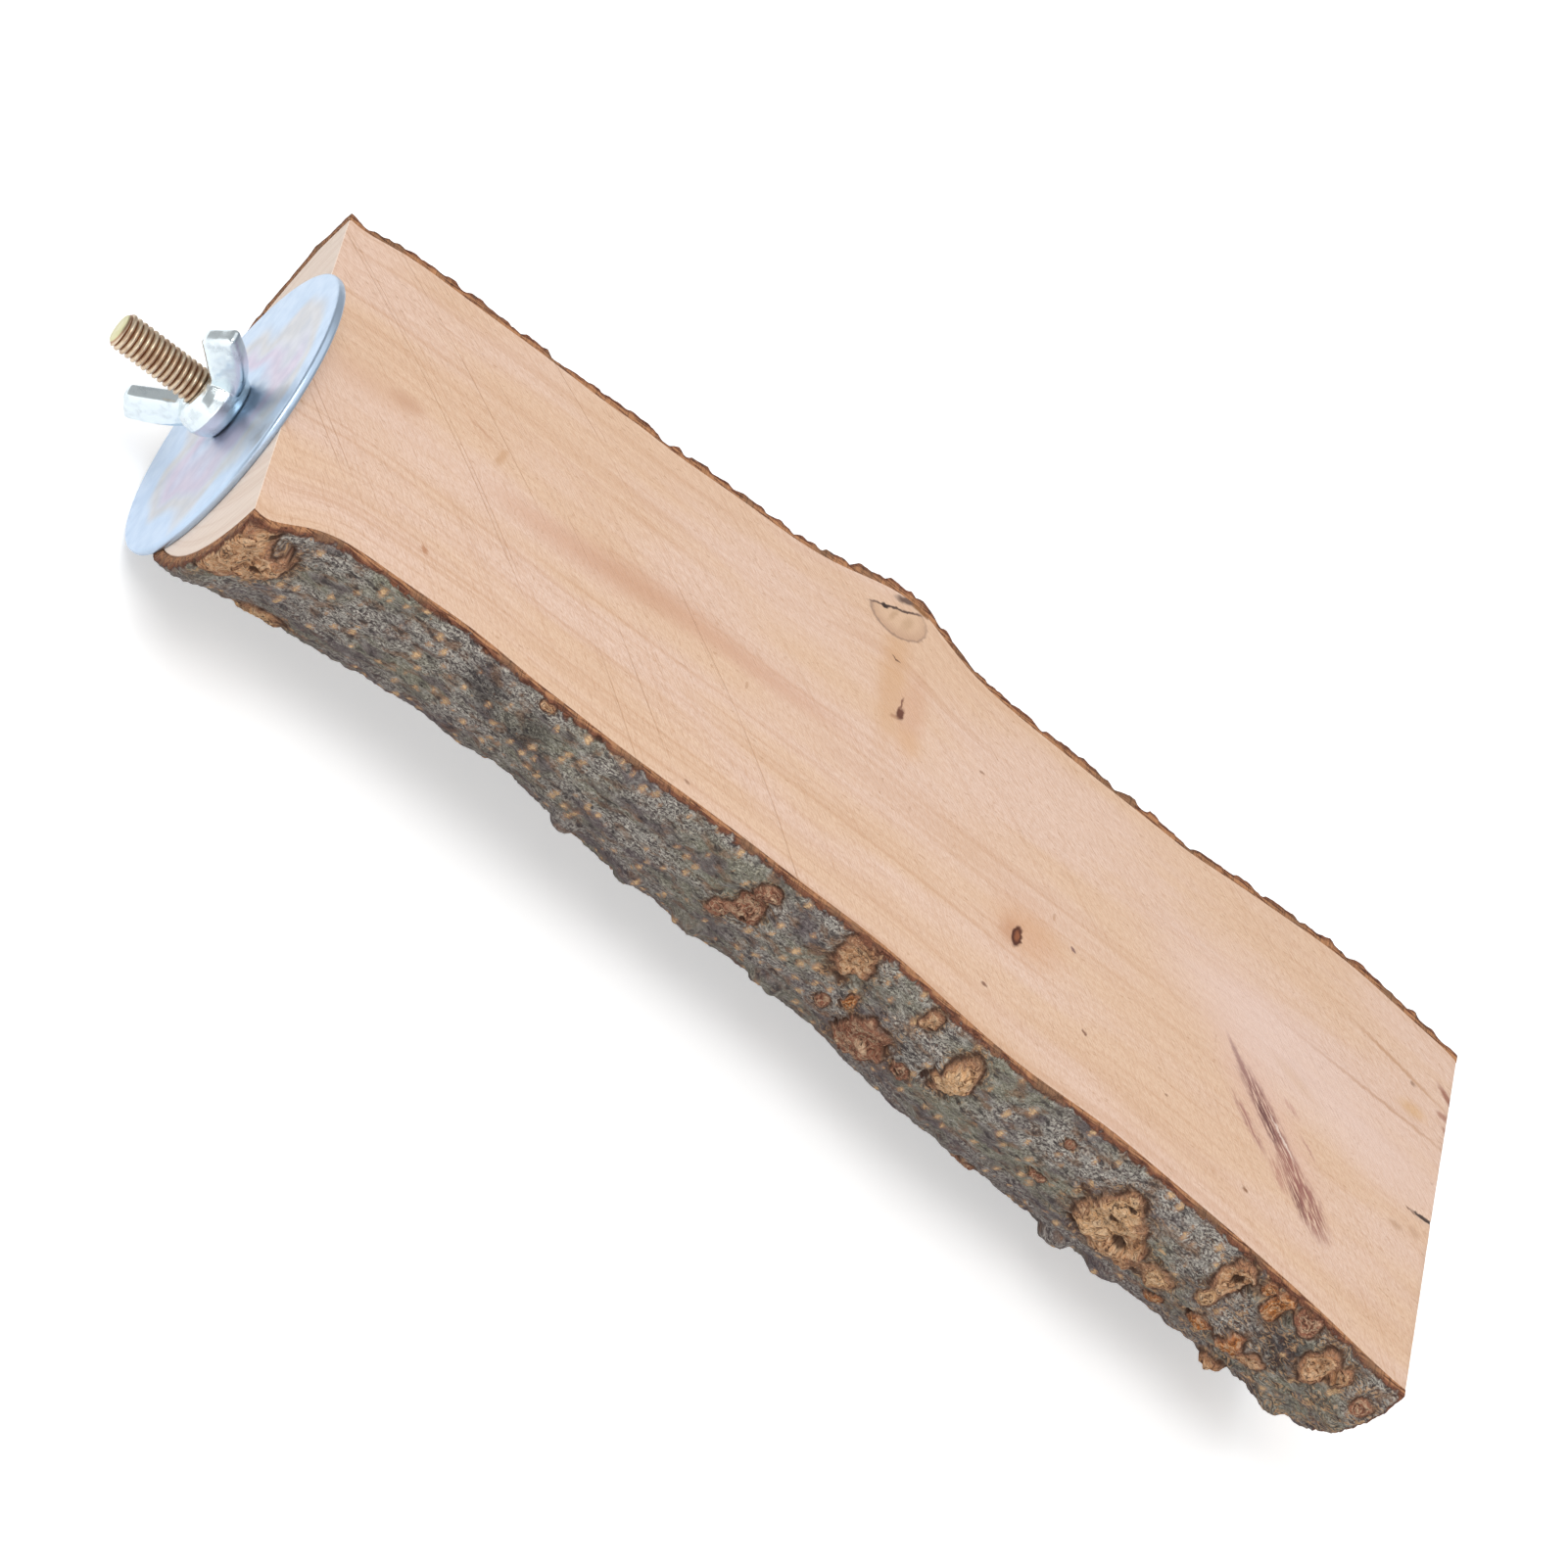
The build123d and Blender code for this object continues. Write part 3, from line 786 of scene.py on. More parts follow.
@dataclass
class WoodSlab:
    """The sawn half log: flat top with shallow marks, half-round side, square ends and a pilot hole."""

    cells_along: int = 275
    cells_top: int = 96
    cells_side: int = 30
    end_rings: int = 10
    arris: float = 0.3
    bore_radius: float = 2.62
    bore_straight: float = 20.7
    bore_depth: float = 27.75
    bore_tip: float = 0.42
    pith_rise: float = 3.0
    ring_radius: float = 36.0
    saw_wave: float = 0.035
    dip_depth: float = 0.28
    dip_least: float = 0.6
    dip_longest: float = 7.0
    finish: SawnWood = SawnWood()

    def build(self, log: LogForm) -> bpy.types.Object:
        """Model the slab.

        Args:
            log: The log's form.

        Returns:
            The piece.
        """
        mesh = bmesh.new()
        ring = mesh.verts.layers.float.new("ring")
        around = self.cells_top + self.cells_side
        bmesh.ops.create_grid(mesh, x_segments=self.cells_along, y_segments=around, size=1.0)
        stations: dict[int, tuple[float, float]] = {}
        for vert in mesh.verts:
            step = round((vert.co.x + 1) / 2 * self.cells_along)
            x = self.arris + (log.length - 2 * self.arris) * step / self.cells_along
            if step not in stations:
                stations[step] = (log.edge(x, 0), log.edge(x, 180))
            vert.co = self.point(log, x, stations[step], round((vert.co.y + 1) / 2 * around))
        bmesh.ops.remove_doubles(mesh, verts=mesh.verts, dist=0.002)
        for far in (False, True):
            self.close_end(mesh, log, far)
        for vert in mesh.verts:
            vert[ring] = self.ring_at(log, vert.co)
        bmesh.ops.scale(mesh, vec=(MM, MM, MM), verts=mesh.verts)
        piece = as_piece("wood_slab_sawn", mesh, self.finish.material(log.length), sharp=40)
        settle(piece, Body.PERCH, "wood_slab")
        return piece

    def point(self, log: LogForm, x: float, edges: tuple[float, float], step: int) -> Vector:
        """Point on the slab's skin: across the top for the first steps, then round under it.

        Args:
            log: The log's form.
            x: Place along the log.
            edges: Distances to the front and back edges there.
            step: Step round the slab from the front edge.

        Returns:
            The point.
        """
        if step <= self.cells_top:
            share = step / self.cells_top
            y = share * (edges[0] + edges[1]) - edges[0]
            inner = smooth(0, 0.03, share) * smooth(1, 0.97, share)
            return Vector((x, y, log.top + inner * self.relief(x, y)))
        share = (step - self.cells_top) / self.cells_side
        if share == 1:
            return Vector((x, -edges[0], log.top))
        return log.skin("wood_slab", x, 180 * (1 - share))

    def relief(self, x: float, y: float) -> float:
        """Height of the sawn face: the blade's waves, and dips at the small knots and the split.

        Args:
            x: Place along the log.
            y: Place across it.

        Returns:
            The height over the flat top.
        """
        blade = x + self.finish.blade_lean * y + self.finish.blade_curve * y * y
        height = self.saw_wave * noise.noise(Vector((blade / 2.4, y / 30, 0.0)))
        for mark in self.finish.marks:
            if mark.is_deep and mark.length < self.dip_longest:
                turn = math.radians(mark.turn)
                side, front = x - mark.x, y - mark.y
                run = (side * math.cos(turn) + front * math.sin(turn)) / (mark.length / 2)
                off = (front * math.cos(turn) - side * math.sin(turn)) / max(mark.width / 2, self.dip_least)
                height -= self.dip_depth * smooth(1.2, 0.2, math.hypot(run, off))
        return height

    def close_end(self, mesh: bmesh.types.BMesh, log: LogForm, far: bool) -> None:
        """Close one sawn end with rings of faces, and sink the pilot hole in the near one.

        Args:
            mesh: Slab, open at its ends.
            log: The log's form.
            far: Whether it is the end away from the cage.
        """
        middle = log.length / 2
        loop = [edge for edge in mesh.edges if edge.is_boundary and (edge.verts[0].co.x > middle) == far]
        plane = log.length if far else 0.0
        for ring in range(self.end_rings + 1):
            made = bmesh.ops.extrude_edge_only(mesh, edges=loop)
            loop = edges_of(made)
            for vert in verts_of(made):
                arm = Vector((0, vert.co.y, vert.co.z))
                left = self.end_rings + 1 - ring
                arm.length -= (arm.length - self.bore_radius) / left if ring else self.arris
                vert.co = (plane, arm.y, arm.z)
        if not far:
            for x, radius in ((self.bore_straight, self.bore_radius), (self.bore_depth, self.bore_tip)):
                made = bmesh.ops.extrude_edge_only(mesh, edges=loop)
                loop = edges_of(made)
                for vert in verts_of(made):
                    arm = Vector((0, vert.co.y, vert.co.z)).normalized() * radius
                    vert.co = (x, arm.y, arm.z)
        bmesh.ops.edgeloop_fill(mesh, edges=loop)

    def ring_at(self, log: LogForm, point: Vector) -> float:
        """How far out a point lies among the growth rings, which follow the log's outline.

        Args:
            log: The log's form.
            point: A point of the slab.

        Returns:
            The distance from the pith, in millimetres, as in a round log of the usual size.
        """
        edge = log.edge(point.x, 0 if point.y < 0 else 180)
        side = point.y / edge
        down = (log.top - point.z + self.pith_rise) / log.depth
        return self.ring_radius * math.hypot(side, down)


@dataclass(frozen=True)
class Scar:
    """A branch scar or torn place in the bark: where it is, its size, how proud it stands, its colour."""

    x: float
    around: float
    length: float
    girth: float
    lift: float
    tone: Tone


@dataclass(frozen=True)
class Spot:
    """A hole, a sooty patch or a plain swelling of the bark."""

    x: float
    around: float
    length: float
    girth: float
    amount: float = 1.0


@dataclass
class Bark:
    """The layer of bark: a wrinkled skin with scars and holes, torn at its cut edges."""

    FIELDS = ("scar", "tone", "pit", "soot", "rind")
    cells_along: int = 440
    cells_around: int = 184
    coarser: int = 4
    front_share: float = 0.55
    girth_per_degree: float = 0.62
    seat_gap: float = 0.02
    edge_width: float = 1.1
    wrinkle_rise: float = 0.42
    plate_rise: float = 0.6
    ripple_rise: float = 0.16
    torn_rise: float = 0.32
    torn_far_share: float = 0.7
    crumb_rise: float = 0.28
    groove_depth: float = 0.25
    pit_depth: float = 0.9
    rim_wear: float = 0.15
    chip_depth: float = 0.8
    deepest: float = 1.2
    sawn_margin: tuple[float, float] = (4.0, 0.5)
    top_gap: float = 0.02
    rim_steps: tuple[tuple[float, float], ...] = ((0.08, 0.62), (0.5, 0.8))
    raggedness: float = 0.36
    seed: int = 11
    finish: BarkSkin = BarkSkin()
    scars: tuple[Scar, ...] = (
        Scar(2.4, 11.5, 8.4, 15.0, 0.5, Tone.TAN),
        Scar(8.0, 14.5, 7.4, 9.6, 0.6, Tone.TAN),
        Scar(98.0, 8.6, 4.4, 4.6, 0.5, Tone.RUST),
        Scar(98.2, 17.6, 4.8, 6.6, 0.5, Tone.RUST),
        Scar(95.0, 23.2, 3.8, 4.8, 0.4, Tone.RUST),
        Scar(114.4, 7.4, 6.4, 10.4, 1.0, Tone.TAN),
        Scar(119.4, 20.3, 2.0, 5.6, 0.3, Tone.ORANGE),
        Scar(117.4, 28.5, 2.8, 3.4, 0.3, Tone.RUST),
        Scar(125.6, 30.0, 7.6, 14.0, 0.9, Tone.RUST),
        Scar(129.0, 5.8, 3.0, 5.4, 0.4, Tone.TAN),
        Scar(138.0, 13.6, 5.6, 10.8, 0.9, Tone.PALE),
        Scar(132.8, 27.0, 3.0, 4.0, 0.2, Tone.RUST),
        Scar(157.6, 9.0, 2.0, 2.4, 0.2, Tone.RUST),
        Scar(159.6, 26.0, 2.8, 2.4, 0.3, Tone.RUST),
        Scar(172.2, 21.0, 11.0, 12.5, 1.3, Tone.PALE),
        Scar(170.9, 14.0, 5.4, 8.0, 1.0, Tone.PALE),
        Scar(175.6, 26.5, 9.5, 9.5, 1.0, Tone.TAN),
        Scar(183.8, 25.5, 5.6, 5.6, 0.3, Tone.PALE),
        Scar(190.0, 7.6, 5.0, 8.6, 1.0, Tone.TAN),
        Scar(190.2, 17.5, 2.6, 6.0, 0.2, Tone.PALE),
        Scar(197.7, 5.6, 4.0, 7.2, 1.0, Tone.ORANGE),
        Scar(194.6, 3.0, 2.6, 3.2, 0.3, Tone.ORANGE),
        Scar(202.2, 2.8, 4.4, 4.2, 0.3, Tone.RUST),
        Scar(193.6, 27.6, 4.0, 4.2, 0.6, Tone.ORANGE),
        Scar(198.7, 24.5, 4.0, 6.6, 0.6, Tone.ORANGE),
        Scar(203.0, 25.4, 4.8, 5.0, 0.3, Tone.TAN),
        Scar(208.6, 9.6, 4.8, 8.2, 0.9, Tone.TAN),
        Scar(211.9, 7.4, 2.8, 5.2, 0.5, Tone.TAN),
        Scar(217.4, 9.0, 3.4, 3.8, 0.2, Tone.RUST),
        Scar(53.6, 1.6, 2.6, 1.8, 0.3, Tone.TAN),
        Scar(187.6, 36.0, 3.0, 4.0, 0.4, Tone.ORANGE),
        Scar(202.0, 39.5, 4.5, 4.5, 0.9, Tone.TAN),
    )
    pits: tuple[Spot, ...] = (
        Spot(1.6, 25.5, 3.4, 1.8), Spot(6.6, 13.2, 3.0, 1.4), Spot(5.0, 2.4, 2.0, 1.8),
        Spot(97.4, 14.3, 3.0, 0.8), Spot(98.8, 20.8, 1.6, 1.6), Spot(121.4, 33.0, 2.2, 1.6),
        Spot(132.6, 28.0, 2.4, 1.6), Spot(135.2, 22.0, 1.5, 3.0), Spot(139.6, 20.5, 1.6, 2.2),
        Spot(129.8, 8.0, 1.2, 1.4), Spot(171.6, 17.6, 2.2, 2.2), Spot(175.6, 24.6, 3.2, 2.0),
        Spot(169.2, 32.0, 3.6, 2.0), Spot(171.6, 11.4, 2.6, 0.9), Spot(190.6, 7.4, 2.2, 2.4),
        Spot(192.7, 9.6, 3.0, 0.8), Spot(199.2, 28.2, 1.0, 1.4), Spot(191.7, 27.6, 0.9, 3.2),
        Spot(211.0, 5.6, 2.4, 0.8), Spot(212.4, 9.6, 0.8, 2.6), Spot(181.6, 20.0, 2.6, 1.0),
        Spot(126.0, 41.5, 2.6, 2.0), Spot(62.8, 0.8, 1.8, 1.2),
    )
    patches: tuple[Spot, ...] = (
        Spot(45.0, 10.0, 10.0, 7.0, 0.85), Spot(47.5, 15.5, 7.0, 4.0, 0.75),
        Spot(55.0, 15.0, 9.0, 11.0, 0.8), Spot(62.0, 25.0, 6.0, 6.0, 0.4),
        Spot(72.0, 17.0, 7.0, 5.0, 0.35), Spot(129.6, 20.5, 6.5, 8.0, 0.75),
        Spot(133.0, 29.0, 6.0, 4.0, 0.8), Spot(203.4, 13.0, 10.0, 10.0, 0.95),
        Spot(205.5, 17.5, 9.0, 6.0, 0.9), Spot(187.0, 17.0, 6.0, 5.0, 0.5),
        Spot(213.5, 17.0, 9.0, 5.0, 0.5), Spot(195.0, 12.0, 6.0, 4.0, 0.4),
    )
    swellings: tuple[Spot, ...] = (
        Spot(71.5, 42.0, 7.0, 9.0, 1.6), Spot(84.0, 43.0, 7.0, 7.0, 1.2), Spot(96.6, 44.5, 8.0, 8.0, 1.4),
        Spot(111.0, 43.0, 8.0, 8.0, 1.3), Spot(172.6, 49.0, 7.5, 8.0, 2.2), Spot(181.0, 45.0, 7.0, 7.0, 1.2),
        Spot(202.0, 39.5, 8.0, 9.0, 1.6), Spot(212.0, 36.0, 7.0, 8.0, 1.2), Spot(149.0, 44.0, 8.0, 8.0, 0.9),
        Spot(24.0, 178, 5.0, 5.0, 0.4), Spot(31.0, 178, 2.6, 5.0, 0.9), Spot(37.0, 178, 2.2, 5.0, 0.7),
        Spot(62.0, 178, 4.0, 5.0, 0.4), Spot(68.0, 178, 3.0, 5.0, 0.5), Spot(97.5, 177, 5.0, 8.0, 1.2),
        Spot(104.0, 176, 6.0, 9.0, 0.9), Spot(109.0, 177, 6.0, 8.0, 0.9), Spot(114.5, 177, 3.4, 6.0, 0.8),
        Spot(145.5, 178, 3.0, 5.0, 0.6), Spot(174.5, 178, 2.4, 5.0, 0.8), Spot(193.0, 178, 2.4, 5.0, 0.6),
        Spot(198.5, 178, 3.4, 5.0, 0.7), Spot(210.5, 178, 2.8, 5.0, 1.3),
    )
    wild_scars: int = 34
    wild_margin: float = 4.0
    wild_around: tuple[float, float] = (50.0, 172.0)
    wild_length: tuple[float, float] = (2.5, 8.5)
    wild_stretch: tuple[float, float] = (0.9, 1.6)
    wild_lift: float = 0.09
    hidden: list[Scar] = field(default_factory=list)

    def build(self, log: LogForm) -> bpy.types.Object:
        """Model the bark.

        Args:
            log: The log's form.

        Returns:
            The piece.
        """
        self.hidden = self.scatter(log)
        mesh = bmesh.new()
        fields = {name: mesh.verts.layers.float.new(name) for name in (*self.FIELDS, "x", "around")}
        bmesh.ops.create_grid(mesh, x_segments=self.cells_along, y_segments=self.cells_around, size=1.0)
        for vert in mesh.verts:
            x = (vert.co.x + 1) / 2 * log.length
            around = self.spread((vert.co.y + 1) / 2)
            vert.co, values = self.skin_point(log, x, around)
            for name, value in zip(("x", "around", *self.FIELDS), (x, around, *values)):
                vert[fields[name]] = value
        rim = [edge for edge in mesh.edges if edge.is_boundary]
        for share, rind in self.rim_steps:
            made = bmesh.ops.extrude_edge_only(mesh, edges=rim)
            rim = edges_of(made)
            for vert in verts_of(made):
                outer = self.skin_point(log, vert[fields["x"]], vert[fields["around"]])[0]
                inner = self.seat_point(log, vert[fields["x"]], vert[fields["around"]])
                vert.co = outer.lerp(inner, share)
                vert[fields["rind"]] = rind
                vert[fields["scar"]] = vert[fields["pit"]] = -1.0
        along, round_log = self.cells_along // self.coarser, self.cells_around // self.coarser
        seat = bmesh.ops.create_grid(mesh, x_segments=along, y_segments=round_log, size=1.0)["verts"]
        for vert in seat:
            vert[fields["x"]] = x = (vert.co.x + 1) / 2 * log.length
            vert[fields["around"]] = around = self.spread((vert.co.y + 1) / 2)
            vert.co = self.seat_point(log, x, around)
            vert[fields["rind"]] = 1.0
            vert[fields["scar"]] = vert[fields["pit"]] = -1.0
        inside = each(edge for vert in seat for edge in vert.link_edges if edge.is_boundary)
        bmesh.ops.bridge_loops(mesh, edges=rim + inside)
        sheet = mesh.loops.layers.uv.new("skin")
        for face in mesh.faces:
            for loop in face.loops:
                around = loop.vert[fields["around"]] * self.girth_per_degree
                loop[sheet].uv = (loop.vert[fields["x"]] * MM, around * MM)
        for name in ("x", "around"):
            mesh.verts.layers.float.remove(mesh.verts.layers.float[name])
        bmesh.ops.scale(mesh, vec=(MM, MM, MM), verts=mesh.verts)
        piece = as_piece("bark_skin", mesh, self.finish.material(), sharp=75)
        settle(piece, Body.PERCH, "bark")
        return piece

    def spread(self, share: float) -> float:
        """Degrees round the log for a share of the cells, which are finer at the front."""
        return 180 * share * (self.front_share + (1 - self.front_share) * share)

    def scatter(self, log: LogForm) -> list[Scar]:
        """Scars for the sides that face away, drawn at random from the seed.

        Args:
            log: The log's form.

        Returns:
            The scars.
        """
        draw = random.Random(self.seed)
        found = []
        for _ in range(self.wild_scars):
            x = draw.uniform(self.wild_margin, log.length - self.wild_margin)
            around = draw.uniform(*self.wild_around)
            length = draw.uniform(*self.wild_length)
            tone = draw.choice(list(Tone))
            girth = length * draw.uniform(*self.wild_stretch)
            found.append(Scar(x, around, length, girth, self.wild_lift * length, tone))
        return found

    def seat_point(self, log: LogForm, x: float, around: float) -> Vector:
        """Point on the bark's inside, a hair off the wood.

        Args:
            log: The log's form.
            x: Place along the log.
            around: Degrees round it.

        Returns:
            The point.
        """
        found = log.skin("wood_slab", x, around)
        turn = math.radians(around)
        return found + Vector((0, -math.cos(turn), -math.sin(turn))) * self.seat_gap

    def skin_point(self, log: LogForm, x: float, around: float) -> tuple[Vector, tuple[float, ...]]:
        """Point on the bark's outside with its relief, and what the surface is there.

        Args:
            log: The log's form.
            x: Place along the log.
            around: Degrees round it.

        Returns:
            The point, and the values of the fields.
        """
        base = log.skin("bark", x, around)
        girth = around * self.girth_per_degree
        scar, tone, lift = self.scar_at(x, girth)
        pit = self.spot_at(self.pits, x, girth)[0]
        patches = self.near(self.patches, x, girth)
        soot = max(spot.amount * smooth(-0.25, 0.7, near) for near, spot in patches)
        swellings = self.near(self.swellings, x, girth)
        swell = sum(spot.amount * smooth(0.0, 0.8, near) for near, spot in swellings)
        place = Vector((x, girth, 0.0))
        rough = self.wrinkle_rise * noise.fractal(Vector((x / 2.2, girth / 1.5, 0.0)), 0.8, 2.1, 3)
        plates = self.plate_rise * noise.fractal(Vector((x / 8, girth / 5, 3.0)), 1.0, 2.0, 2)
        crumbs = noise.fractal(place / 2.8, 0.9, 2.0, 2)
        inside = smooth(-0.05, 0.3, scar)
        groove = smooth(-0.45, -0.15, scar) * smooth(0.10, -0.10, scar)
        ripple = self.ripple_rise * math.sin(11 * scar + 4 * noise.noise(place / 1.3))
        height = rough + plates + swell + lift * smooth(-0.15, 0.5, scar)
        torn = max(smooth(-0.7, 0.1, scar), self.torn_far_share * smooth(*self.finish.torn_zone, x))
        height += self.torn_rise * torn * noise.fractal(place / 1.7, 0.9, 2.0, 2)
        sunk = self.groove_depth * groove + self.pit_depth * smooth(0.0, 0.7, pit)
        height += (self.crumb_rise * crumbs + ripple) * inside - sunk
        rind = self.edge_rind(log, x, girth, around)
        chipped = smooth(-0.1, 0.5, noise.fractal(Vector((x / 3.4, girth / 3.4, 5.0)), 0.9, 2.0, 2))
        sawn = smooth(*self.sawn_margin, min(x, log.length - x))
        worn = (self.rim_wear + self.chip_depth * chipped) * smooth(0.15, 0.6, rind)
        height = max(height - worn * (1 - 0.8 * sawn), -self.deepest)
        turn = math.radians(around)
        point = base + Vector((0, -math.cos(turn), -math.sin(turn))) * height
        point.z = min(point.z, log.top - self.top_gap)
        return point, (scar, tone, pit, soot, rind)

    def edge_rind(self, log: LogForm, x: float, girth: float, around: float) -> float:
        """How near a point is to a cut edge of the bark.

        Args:
            log: The log's form.
            x: Place along the log.
            girth: Distance round it from the front edge.
            around: The same in degrees.

        Returns:
            A value from 0 to 0.6.
        """
        round_edge = min(girth, (180 - around) * self.girth_per_degree)
        edge = min(round_edge, 1.6 * min(x, log.length - x))
        ragged = 0.5 * noise.noise(Vector((x / 1.7, girth / 1.7, 7.0)))
        return 0.6 * smooth(self.edge_width, 0.0, edge + ragged)

    def near(self, spots: Sequence[Any], x: float, girth: float) -> list[tuple[float, Any]]:
        """Find the scars or spots round a point.

        Args:
            spots: All of them.
            x: The point's place along the log.
            girth: Its distance round the log from the front edge.

        Returns:
            How deep the point lies in each, with the spot: 1 at the centre, 0 at the edge, -1 a radius out.
        """
        found = []
        for spot in spots:
            along = (x - spot.x) / (spot.length / 2)
            across = (girth - spot.around * self.girth_per_degree) / (spot.girth / 2)
            if abs(along) < 2 and abs(across) < 2:
                ragged = self.raggedness * noise.noise(Vector((x / 2.0, girth / 2.0, spot.x)))
                found.append((max(-1.0, 1 - math.hypot(along, across) + ragged), spot))
        return found or [(-1.0, spots[0])]

    def spot_at(self, spots: Sequence[Any], x: float, girth: float) -> tuple[float, Any]:
        """The spot that a point lies deepest in, with how deep."""
        return max(self.near(spots, x, girth), key=lambda pair: pair[0])

    def scar_at(self, x: float, girth: float) -> tuple[float, float, float]:
        """Depth in the nearest scar, its tone and its lift."""
        depth, scar = self.spot_at((*self.scars, *self.hidden), x, girth)
        return depth, scar.tone.value, scar.lift


@dataclass(frozen=True)
class Thread:
    """A rolled right-hand thread along X: its pitch, its radii, its profile in shares of pitch and depth."""

    pitch: float
    crest: float
    root: float
    profile: tuple[tuple[float, float], ...] = (
        (0.0, 0.0), (0.09, 0.28), (0.20, 0.68), (0.33, 0.92),
        (0.50, 1.0), (0.67, 0.92), (0.80, 0.68), (0.91, 0.28),
    )
    steps: int = 40

    def wind(
        self, mesh: bmesh.types.BMesh, start: float, end: float, grow: float = 0.0
    ) -> list[bmesh.types.BMVert]:
        """Wind the thread's skin from one plane to another, open at both ends.

        Args:
            mesh: Bmesh that takes it, in millimetres.
            start: Plane where it begins, the larger x.
            end: Plane where it ends.
            grow: How far the skin lies outside the thread's own.

        Returns:
            The new vertices.
        """
        before = set(mesh.verts)
        turns = math.ceil((start - end) / self.pitch) + 2
        first = math.ceil(start / self.pitch + 1) * self.pitch
        shares = [*self.profile, (1.0, self.profile[0][1])]
        foot, depth = self.root + grow, self.crest - self.root
        places = [(first - along * self.pitch, foot + out * depth, 0) for along, out in shares]
        points = [mesh.verts.new(place) for place in places]
        runs = [mesh.edges.new(pair) for pair in zip(points, points[1:])]
        bmesh.ops.spin(
            mesh, geom=points + runs, cent=(0, 0, 0), axis=(-1, 0, 0), dvec=(-self.pitch / self.steps, 0, 0),
            angle=math.tau * turns, steps=self.steps * turns, use_merge=False,
        )
        made = [vert for vert in mesh.verts if vert not in before]
        bmesh.ops.remove_doubles(mesh, verts=made, dist=0.004)
        for plane, side in ((start, 1), (end, -1)):
            made = [vert for vert in mesh.verts if vert not in before]
            faces = each(face for vert in made for face in vert.link_faces)
            edges = each(edge for vert in made for edge in vert.link_edges)
            bmesh.ops.bisect_plane(
                mesh, geom=[*made, *edges, *faces], dist=1e-4, plane_co=(plane, 0, 0), plane_no=(side, 0, 0),
                clear_outer=True,
            )
        return [vert for vert in mesh.verts if vert not in before]


M6_THREAD = Thread(pitch=1.0, crest=2.96, root=2.42)
WOOD_SCREW_THREAD = Thread(pitch=2.6, crest=2.56, root=1.75)


def loop_at(verts: Iterable[bmesh.types.BMVert], x: float) -> list[bmesh.types.BMEdge]:
    """The open edges of some vertices that lie in the plane of an x.

    Args:
        verts: The vertices.
        x: Place of the plane.

    Returns:
        The edges.
    """
    edges = each(edge for vert in verts for edge in vert.link_edges if edge.is_boundary)
    return [edge for edge in edges if all(abs(vert.co.x - x) < 0.01 for vert in edge.verts)]


def cap_radius(verts: Iterable[bmesh.types.BMVert], limit: Callable[[float], float]) -> None:
    """Draw vertices in towards the X axis wherever they lie outside a limit that depends on x.

    Args:
        verts: The vertices.
        limit: Largest radius at an x.
    """
    for vert in verts:
        radius = math.hypot(vert.co.y, vert.co.z)
        most = limit(vert.co.x)
        if radius > most:
            vert.co.yz = (vert.co.y * most / radius, vert.co.z * most / radius)


@dataclass
class HangerBolt:
    """The bolt: an M6 thread out of the slab, and a coarse tapered screw inside it."""

    machine: Thread = M6_THREAD
    screw: Thread = WOOD_SCREW_THREAD
    stud_length: float = 22.3
    tip_radius: float = 2.2
    screw_length: float = 27.7
    point_length: float = 7.0
    point_radius: float = 0.4
    finish: YellowZinc = YellowZinc()

    def build(self) -> bpy.types.Object:
        """Model the bolt.

        Returns:
            The piece.
        """
        mesh = bmesh.new()
        stud = self.machine.wind(mesh, 0.0, -self.stud_length)
        cap_radius(stud, lambda x: self.tip_radius + (x + self.stud_length))
        screw = self.screw.wind(mesh, self.screw_length, 0.0)
        slope = (self.screw.crest - self.point_radius) / self.point_length
        cap_radius(screw, lambda x: self.point_radius + (self.screw_length - x) * slope)
        bmesh.ops.bridge_loops(mesh, edges=loop_at(stud, 0.0) + loop_at(screw, 0.0))
        for verts, x in ((stud, -self.stud_length), (screw, self.screw_length)):
            bmesh.ops.edgeloop_fill(mesh, edges=loop_at(verts, x))
        bmesh.ops.scale(mesh, vec=(MM, MM, MM), verts=mesh.verts)
        piece = as_piece("hanger_bolt_threaded", mesh, self.finish.material(), sharp=50)
        settle(piece, Body.PERCH, "hanger_bolt")
        return piece


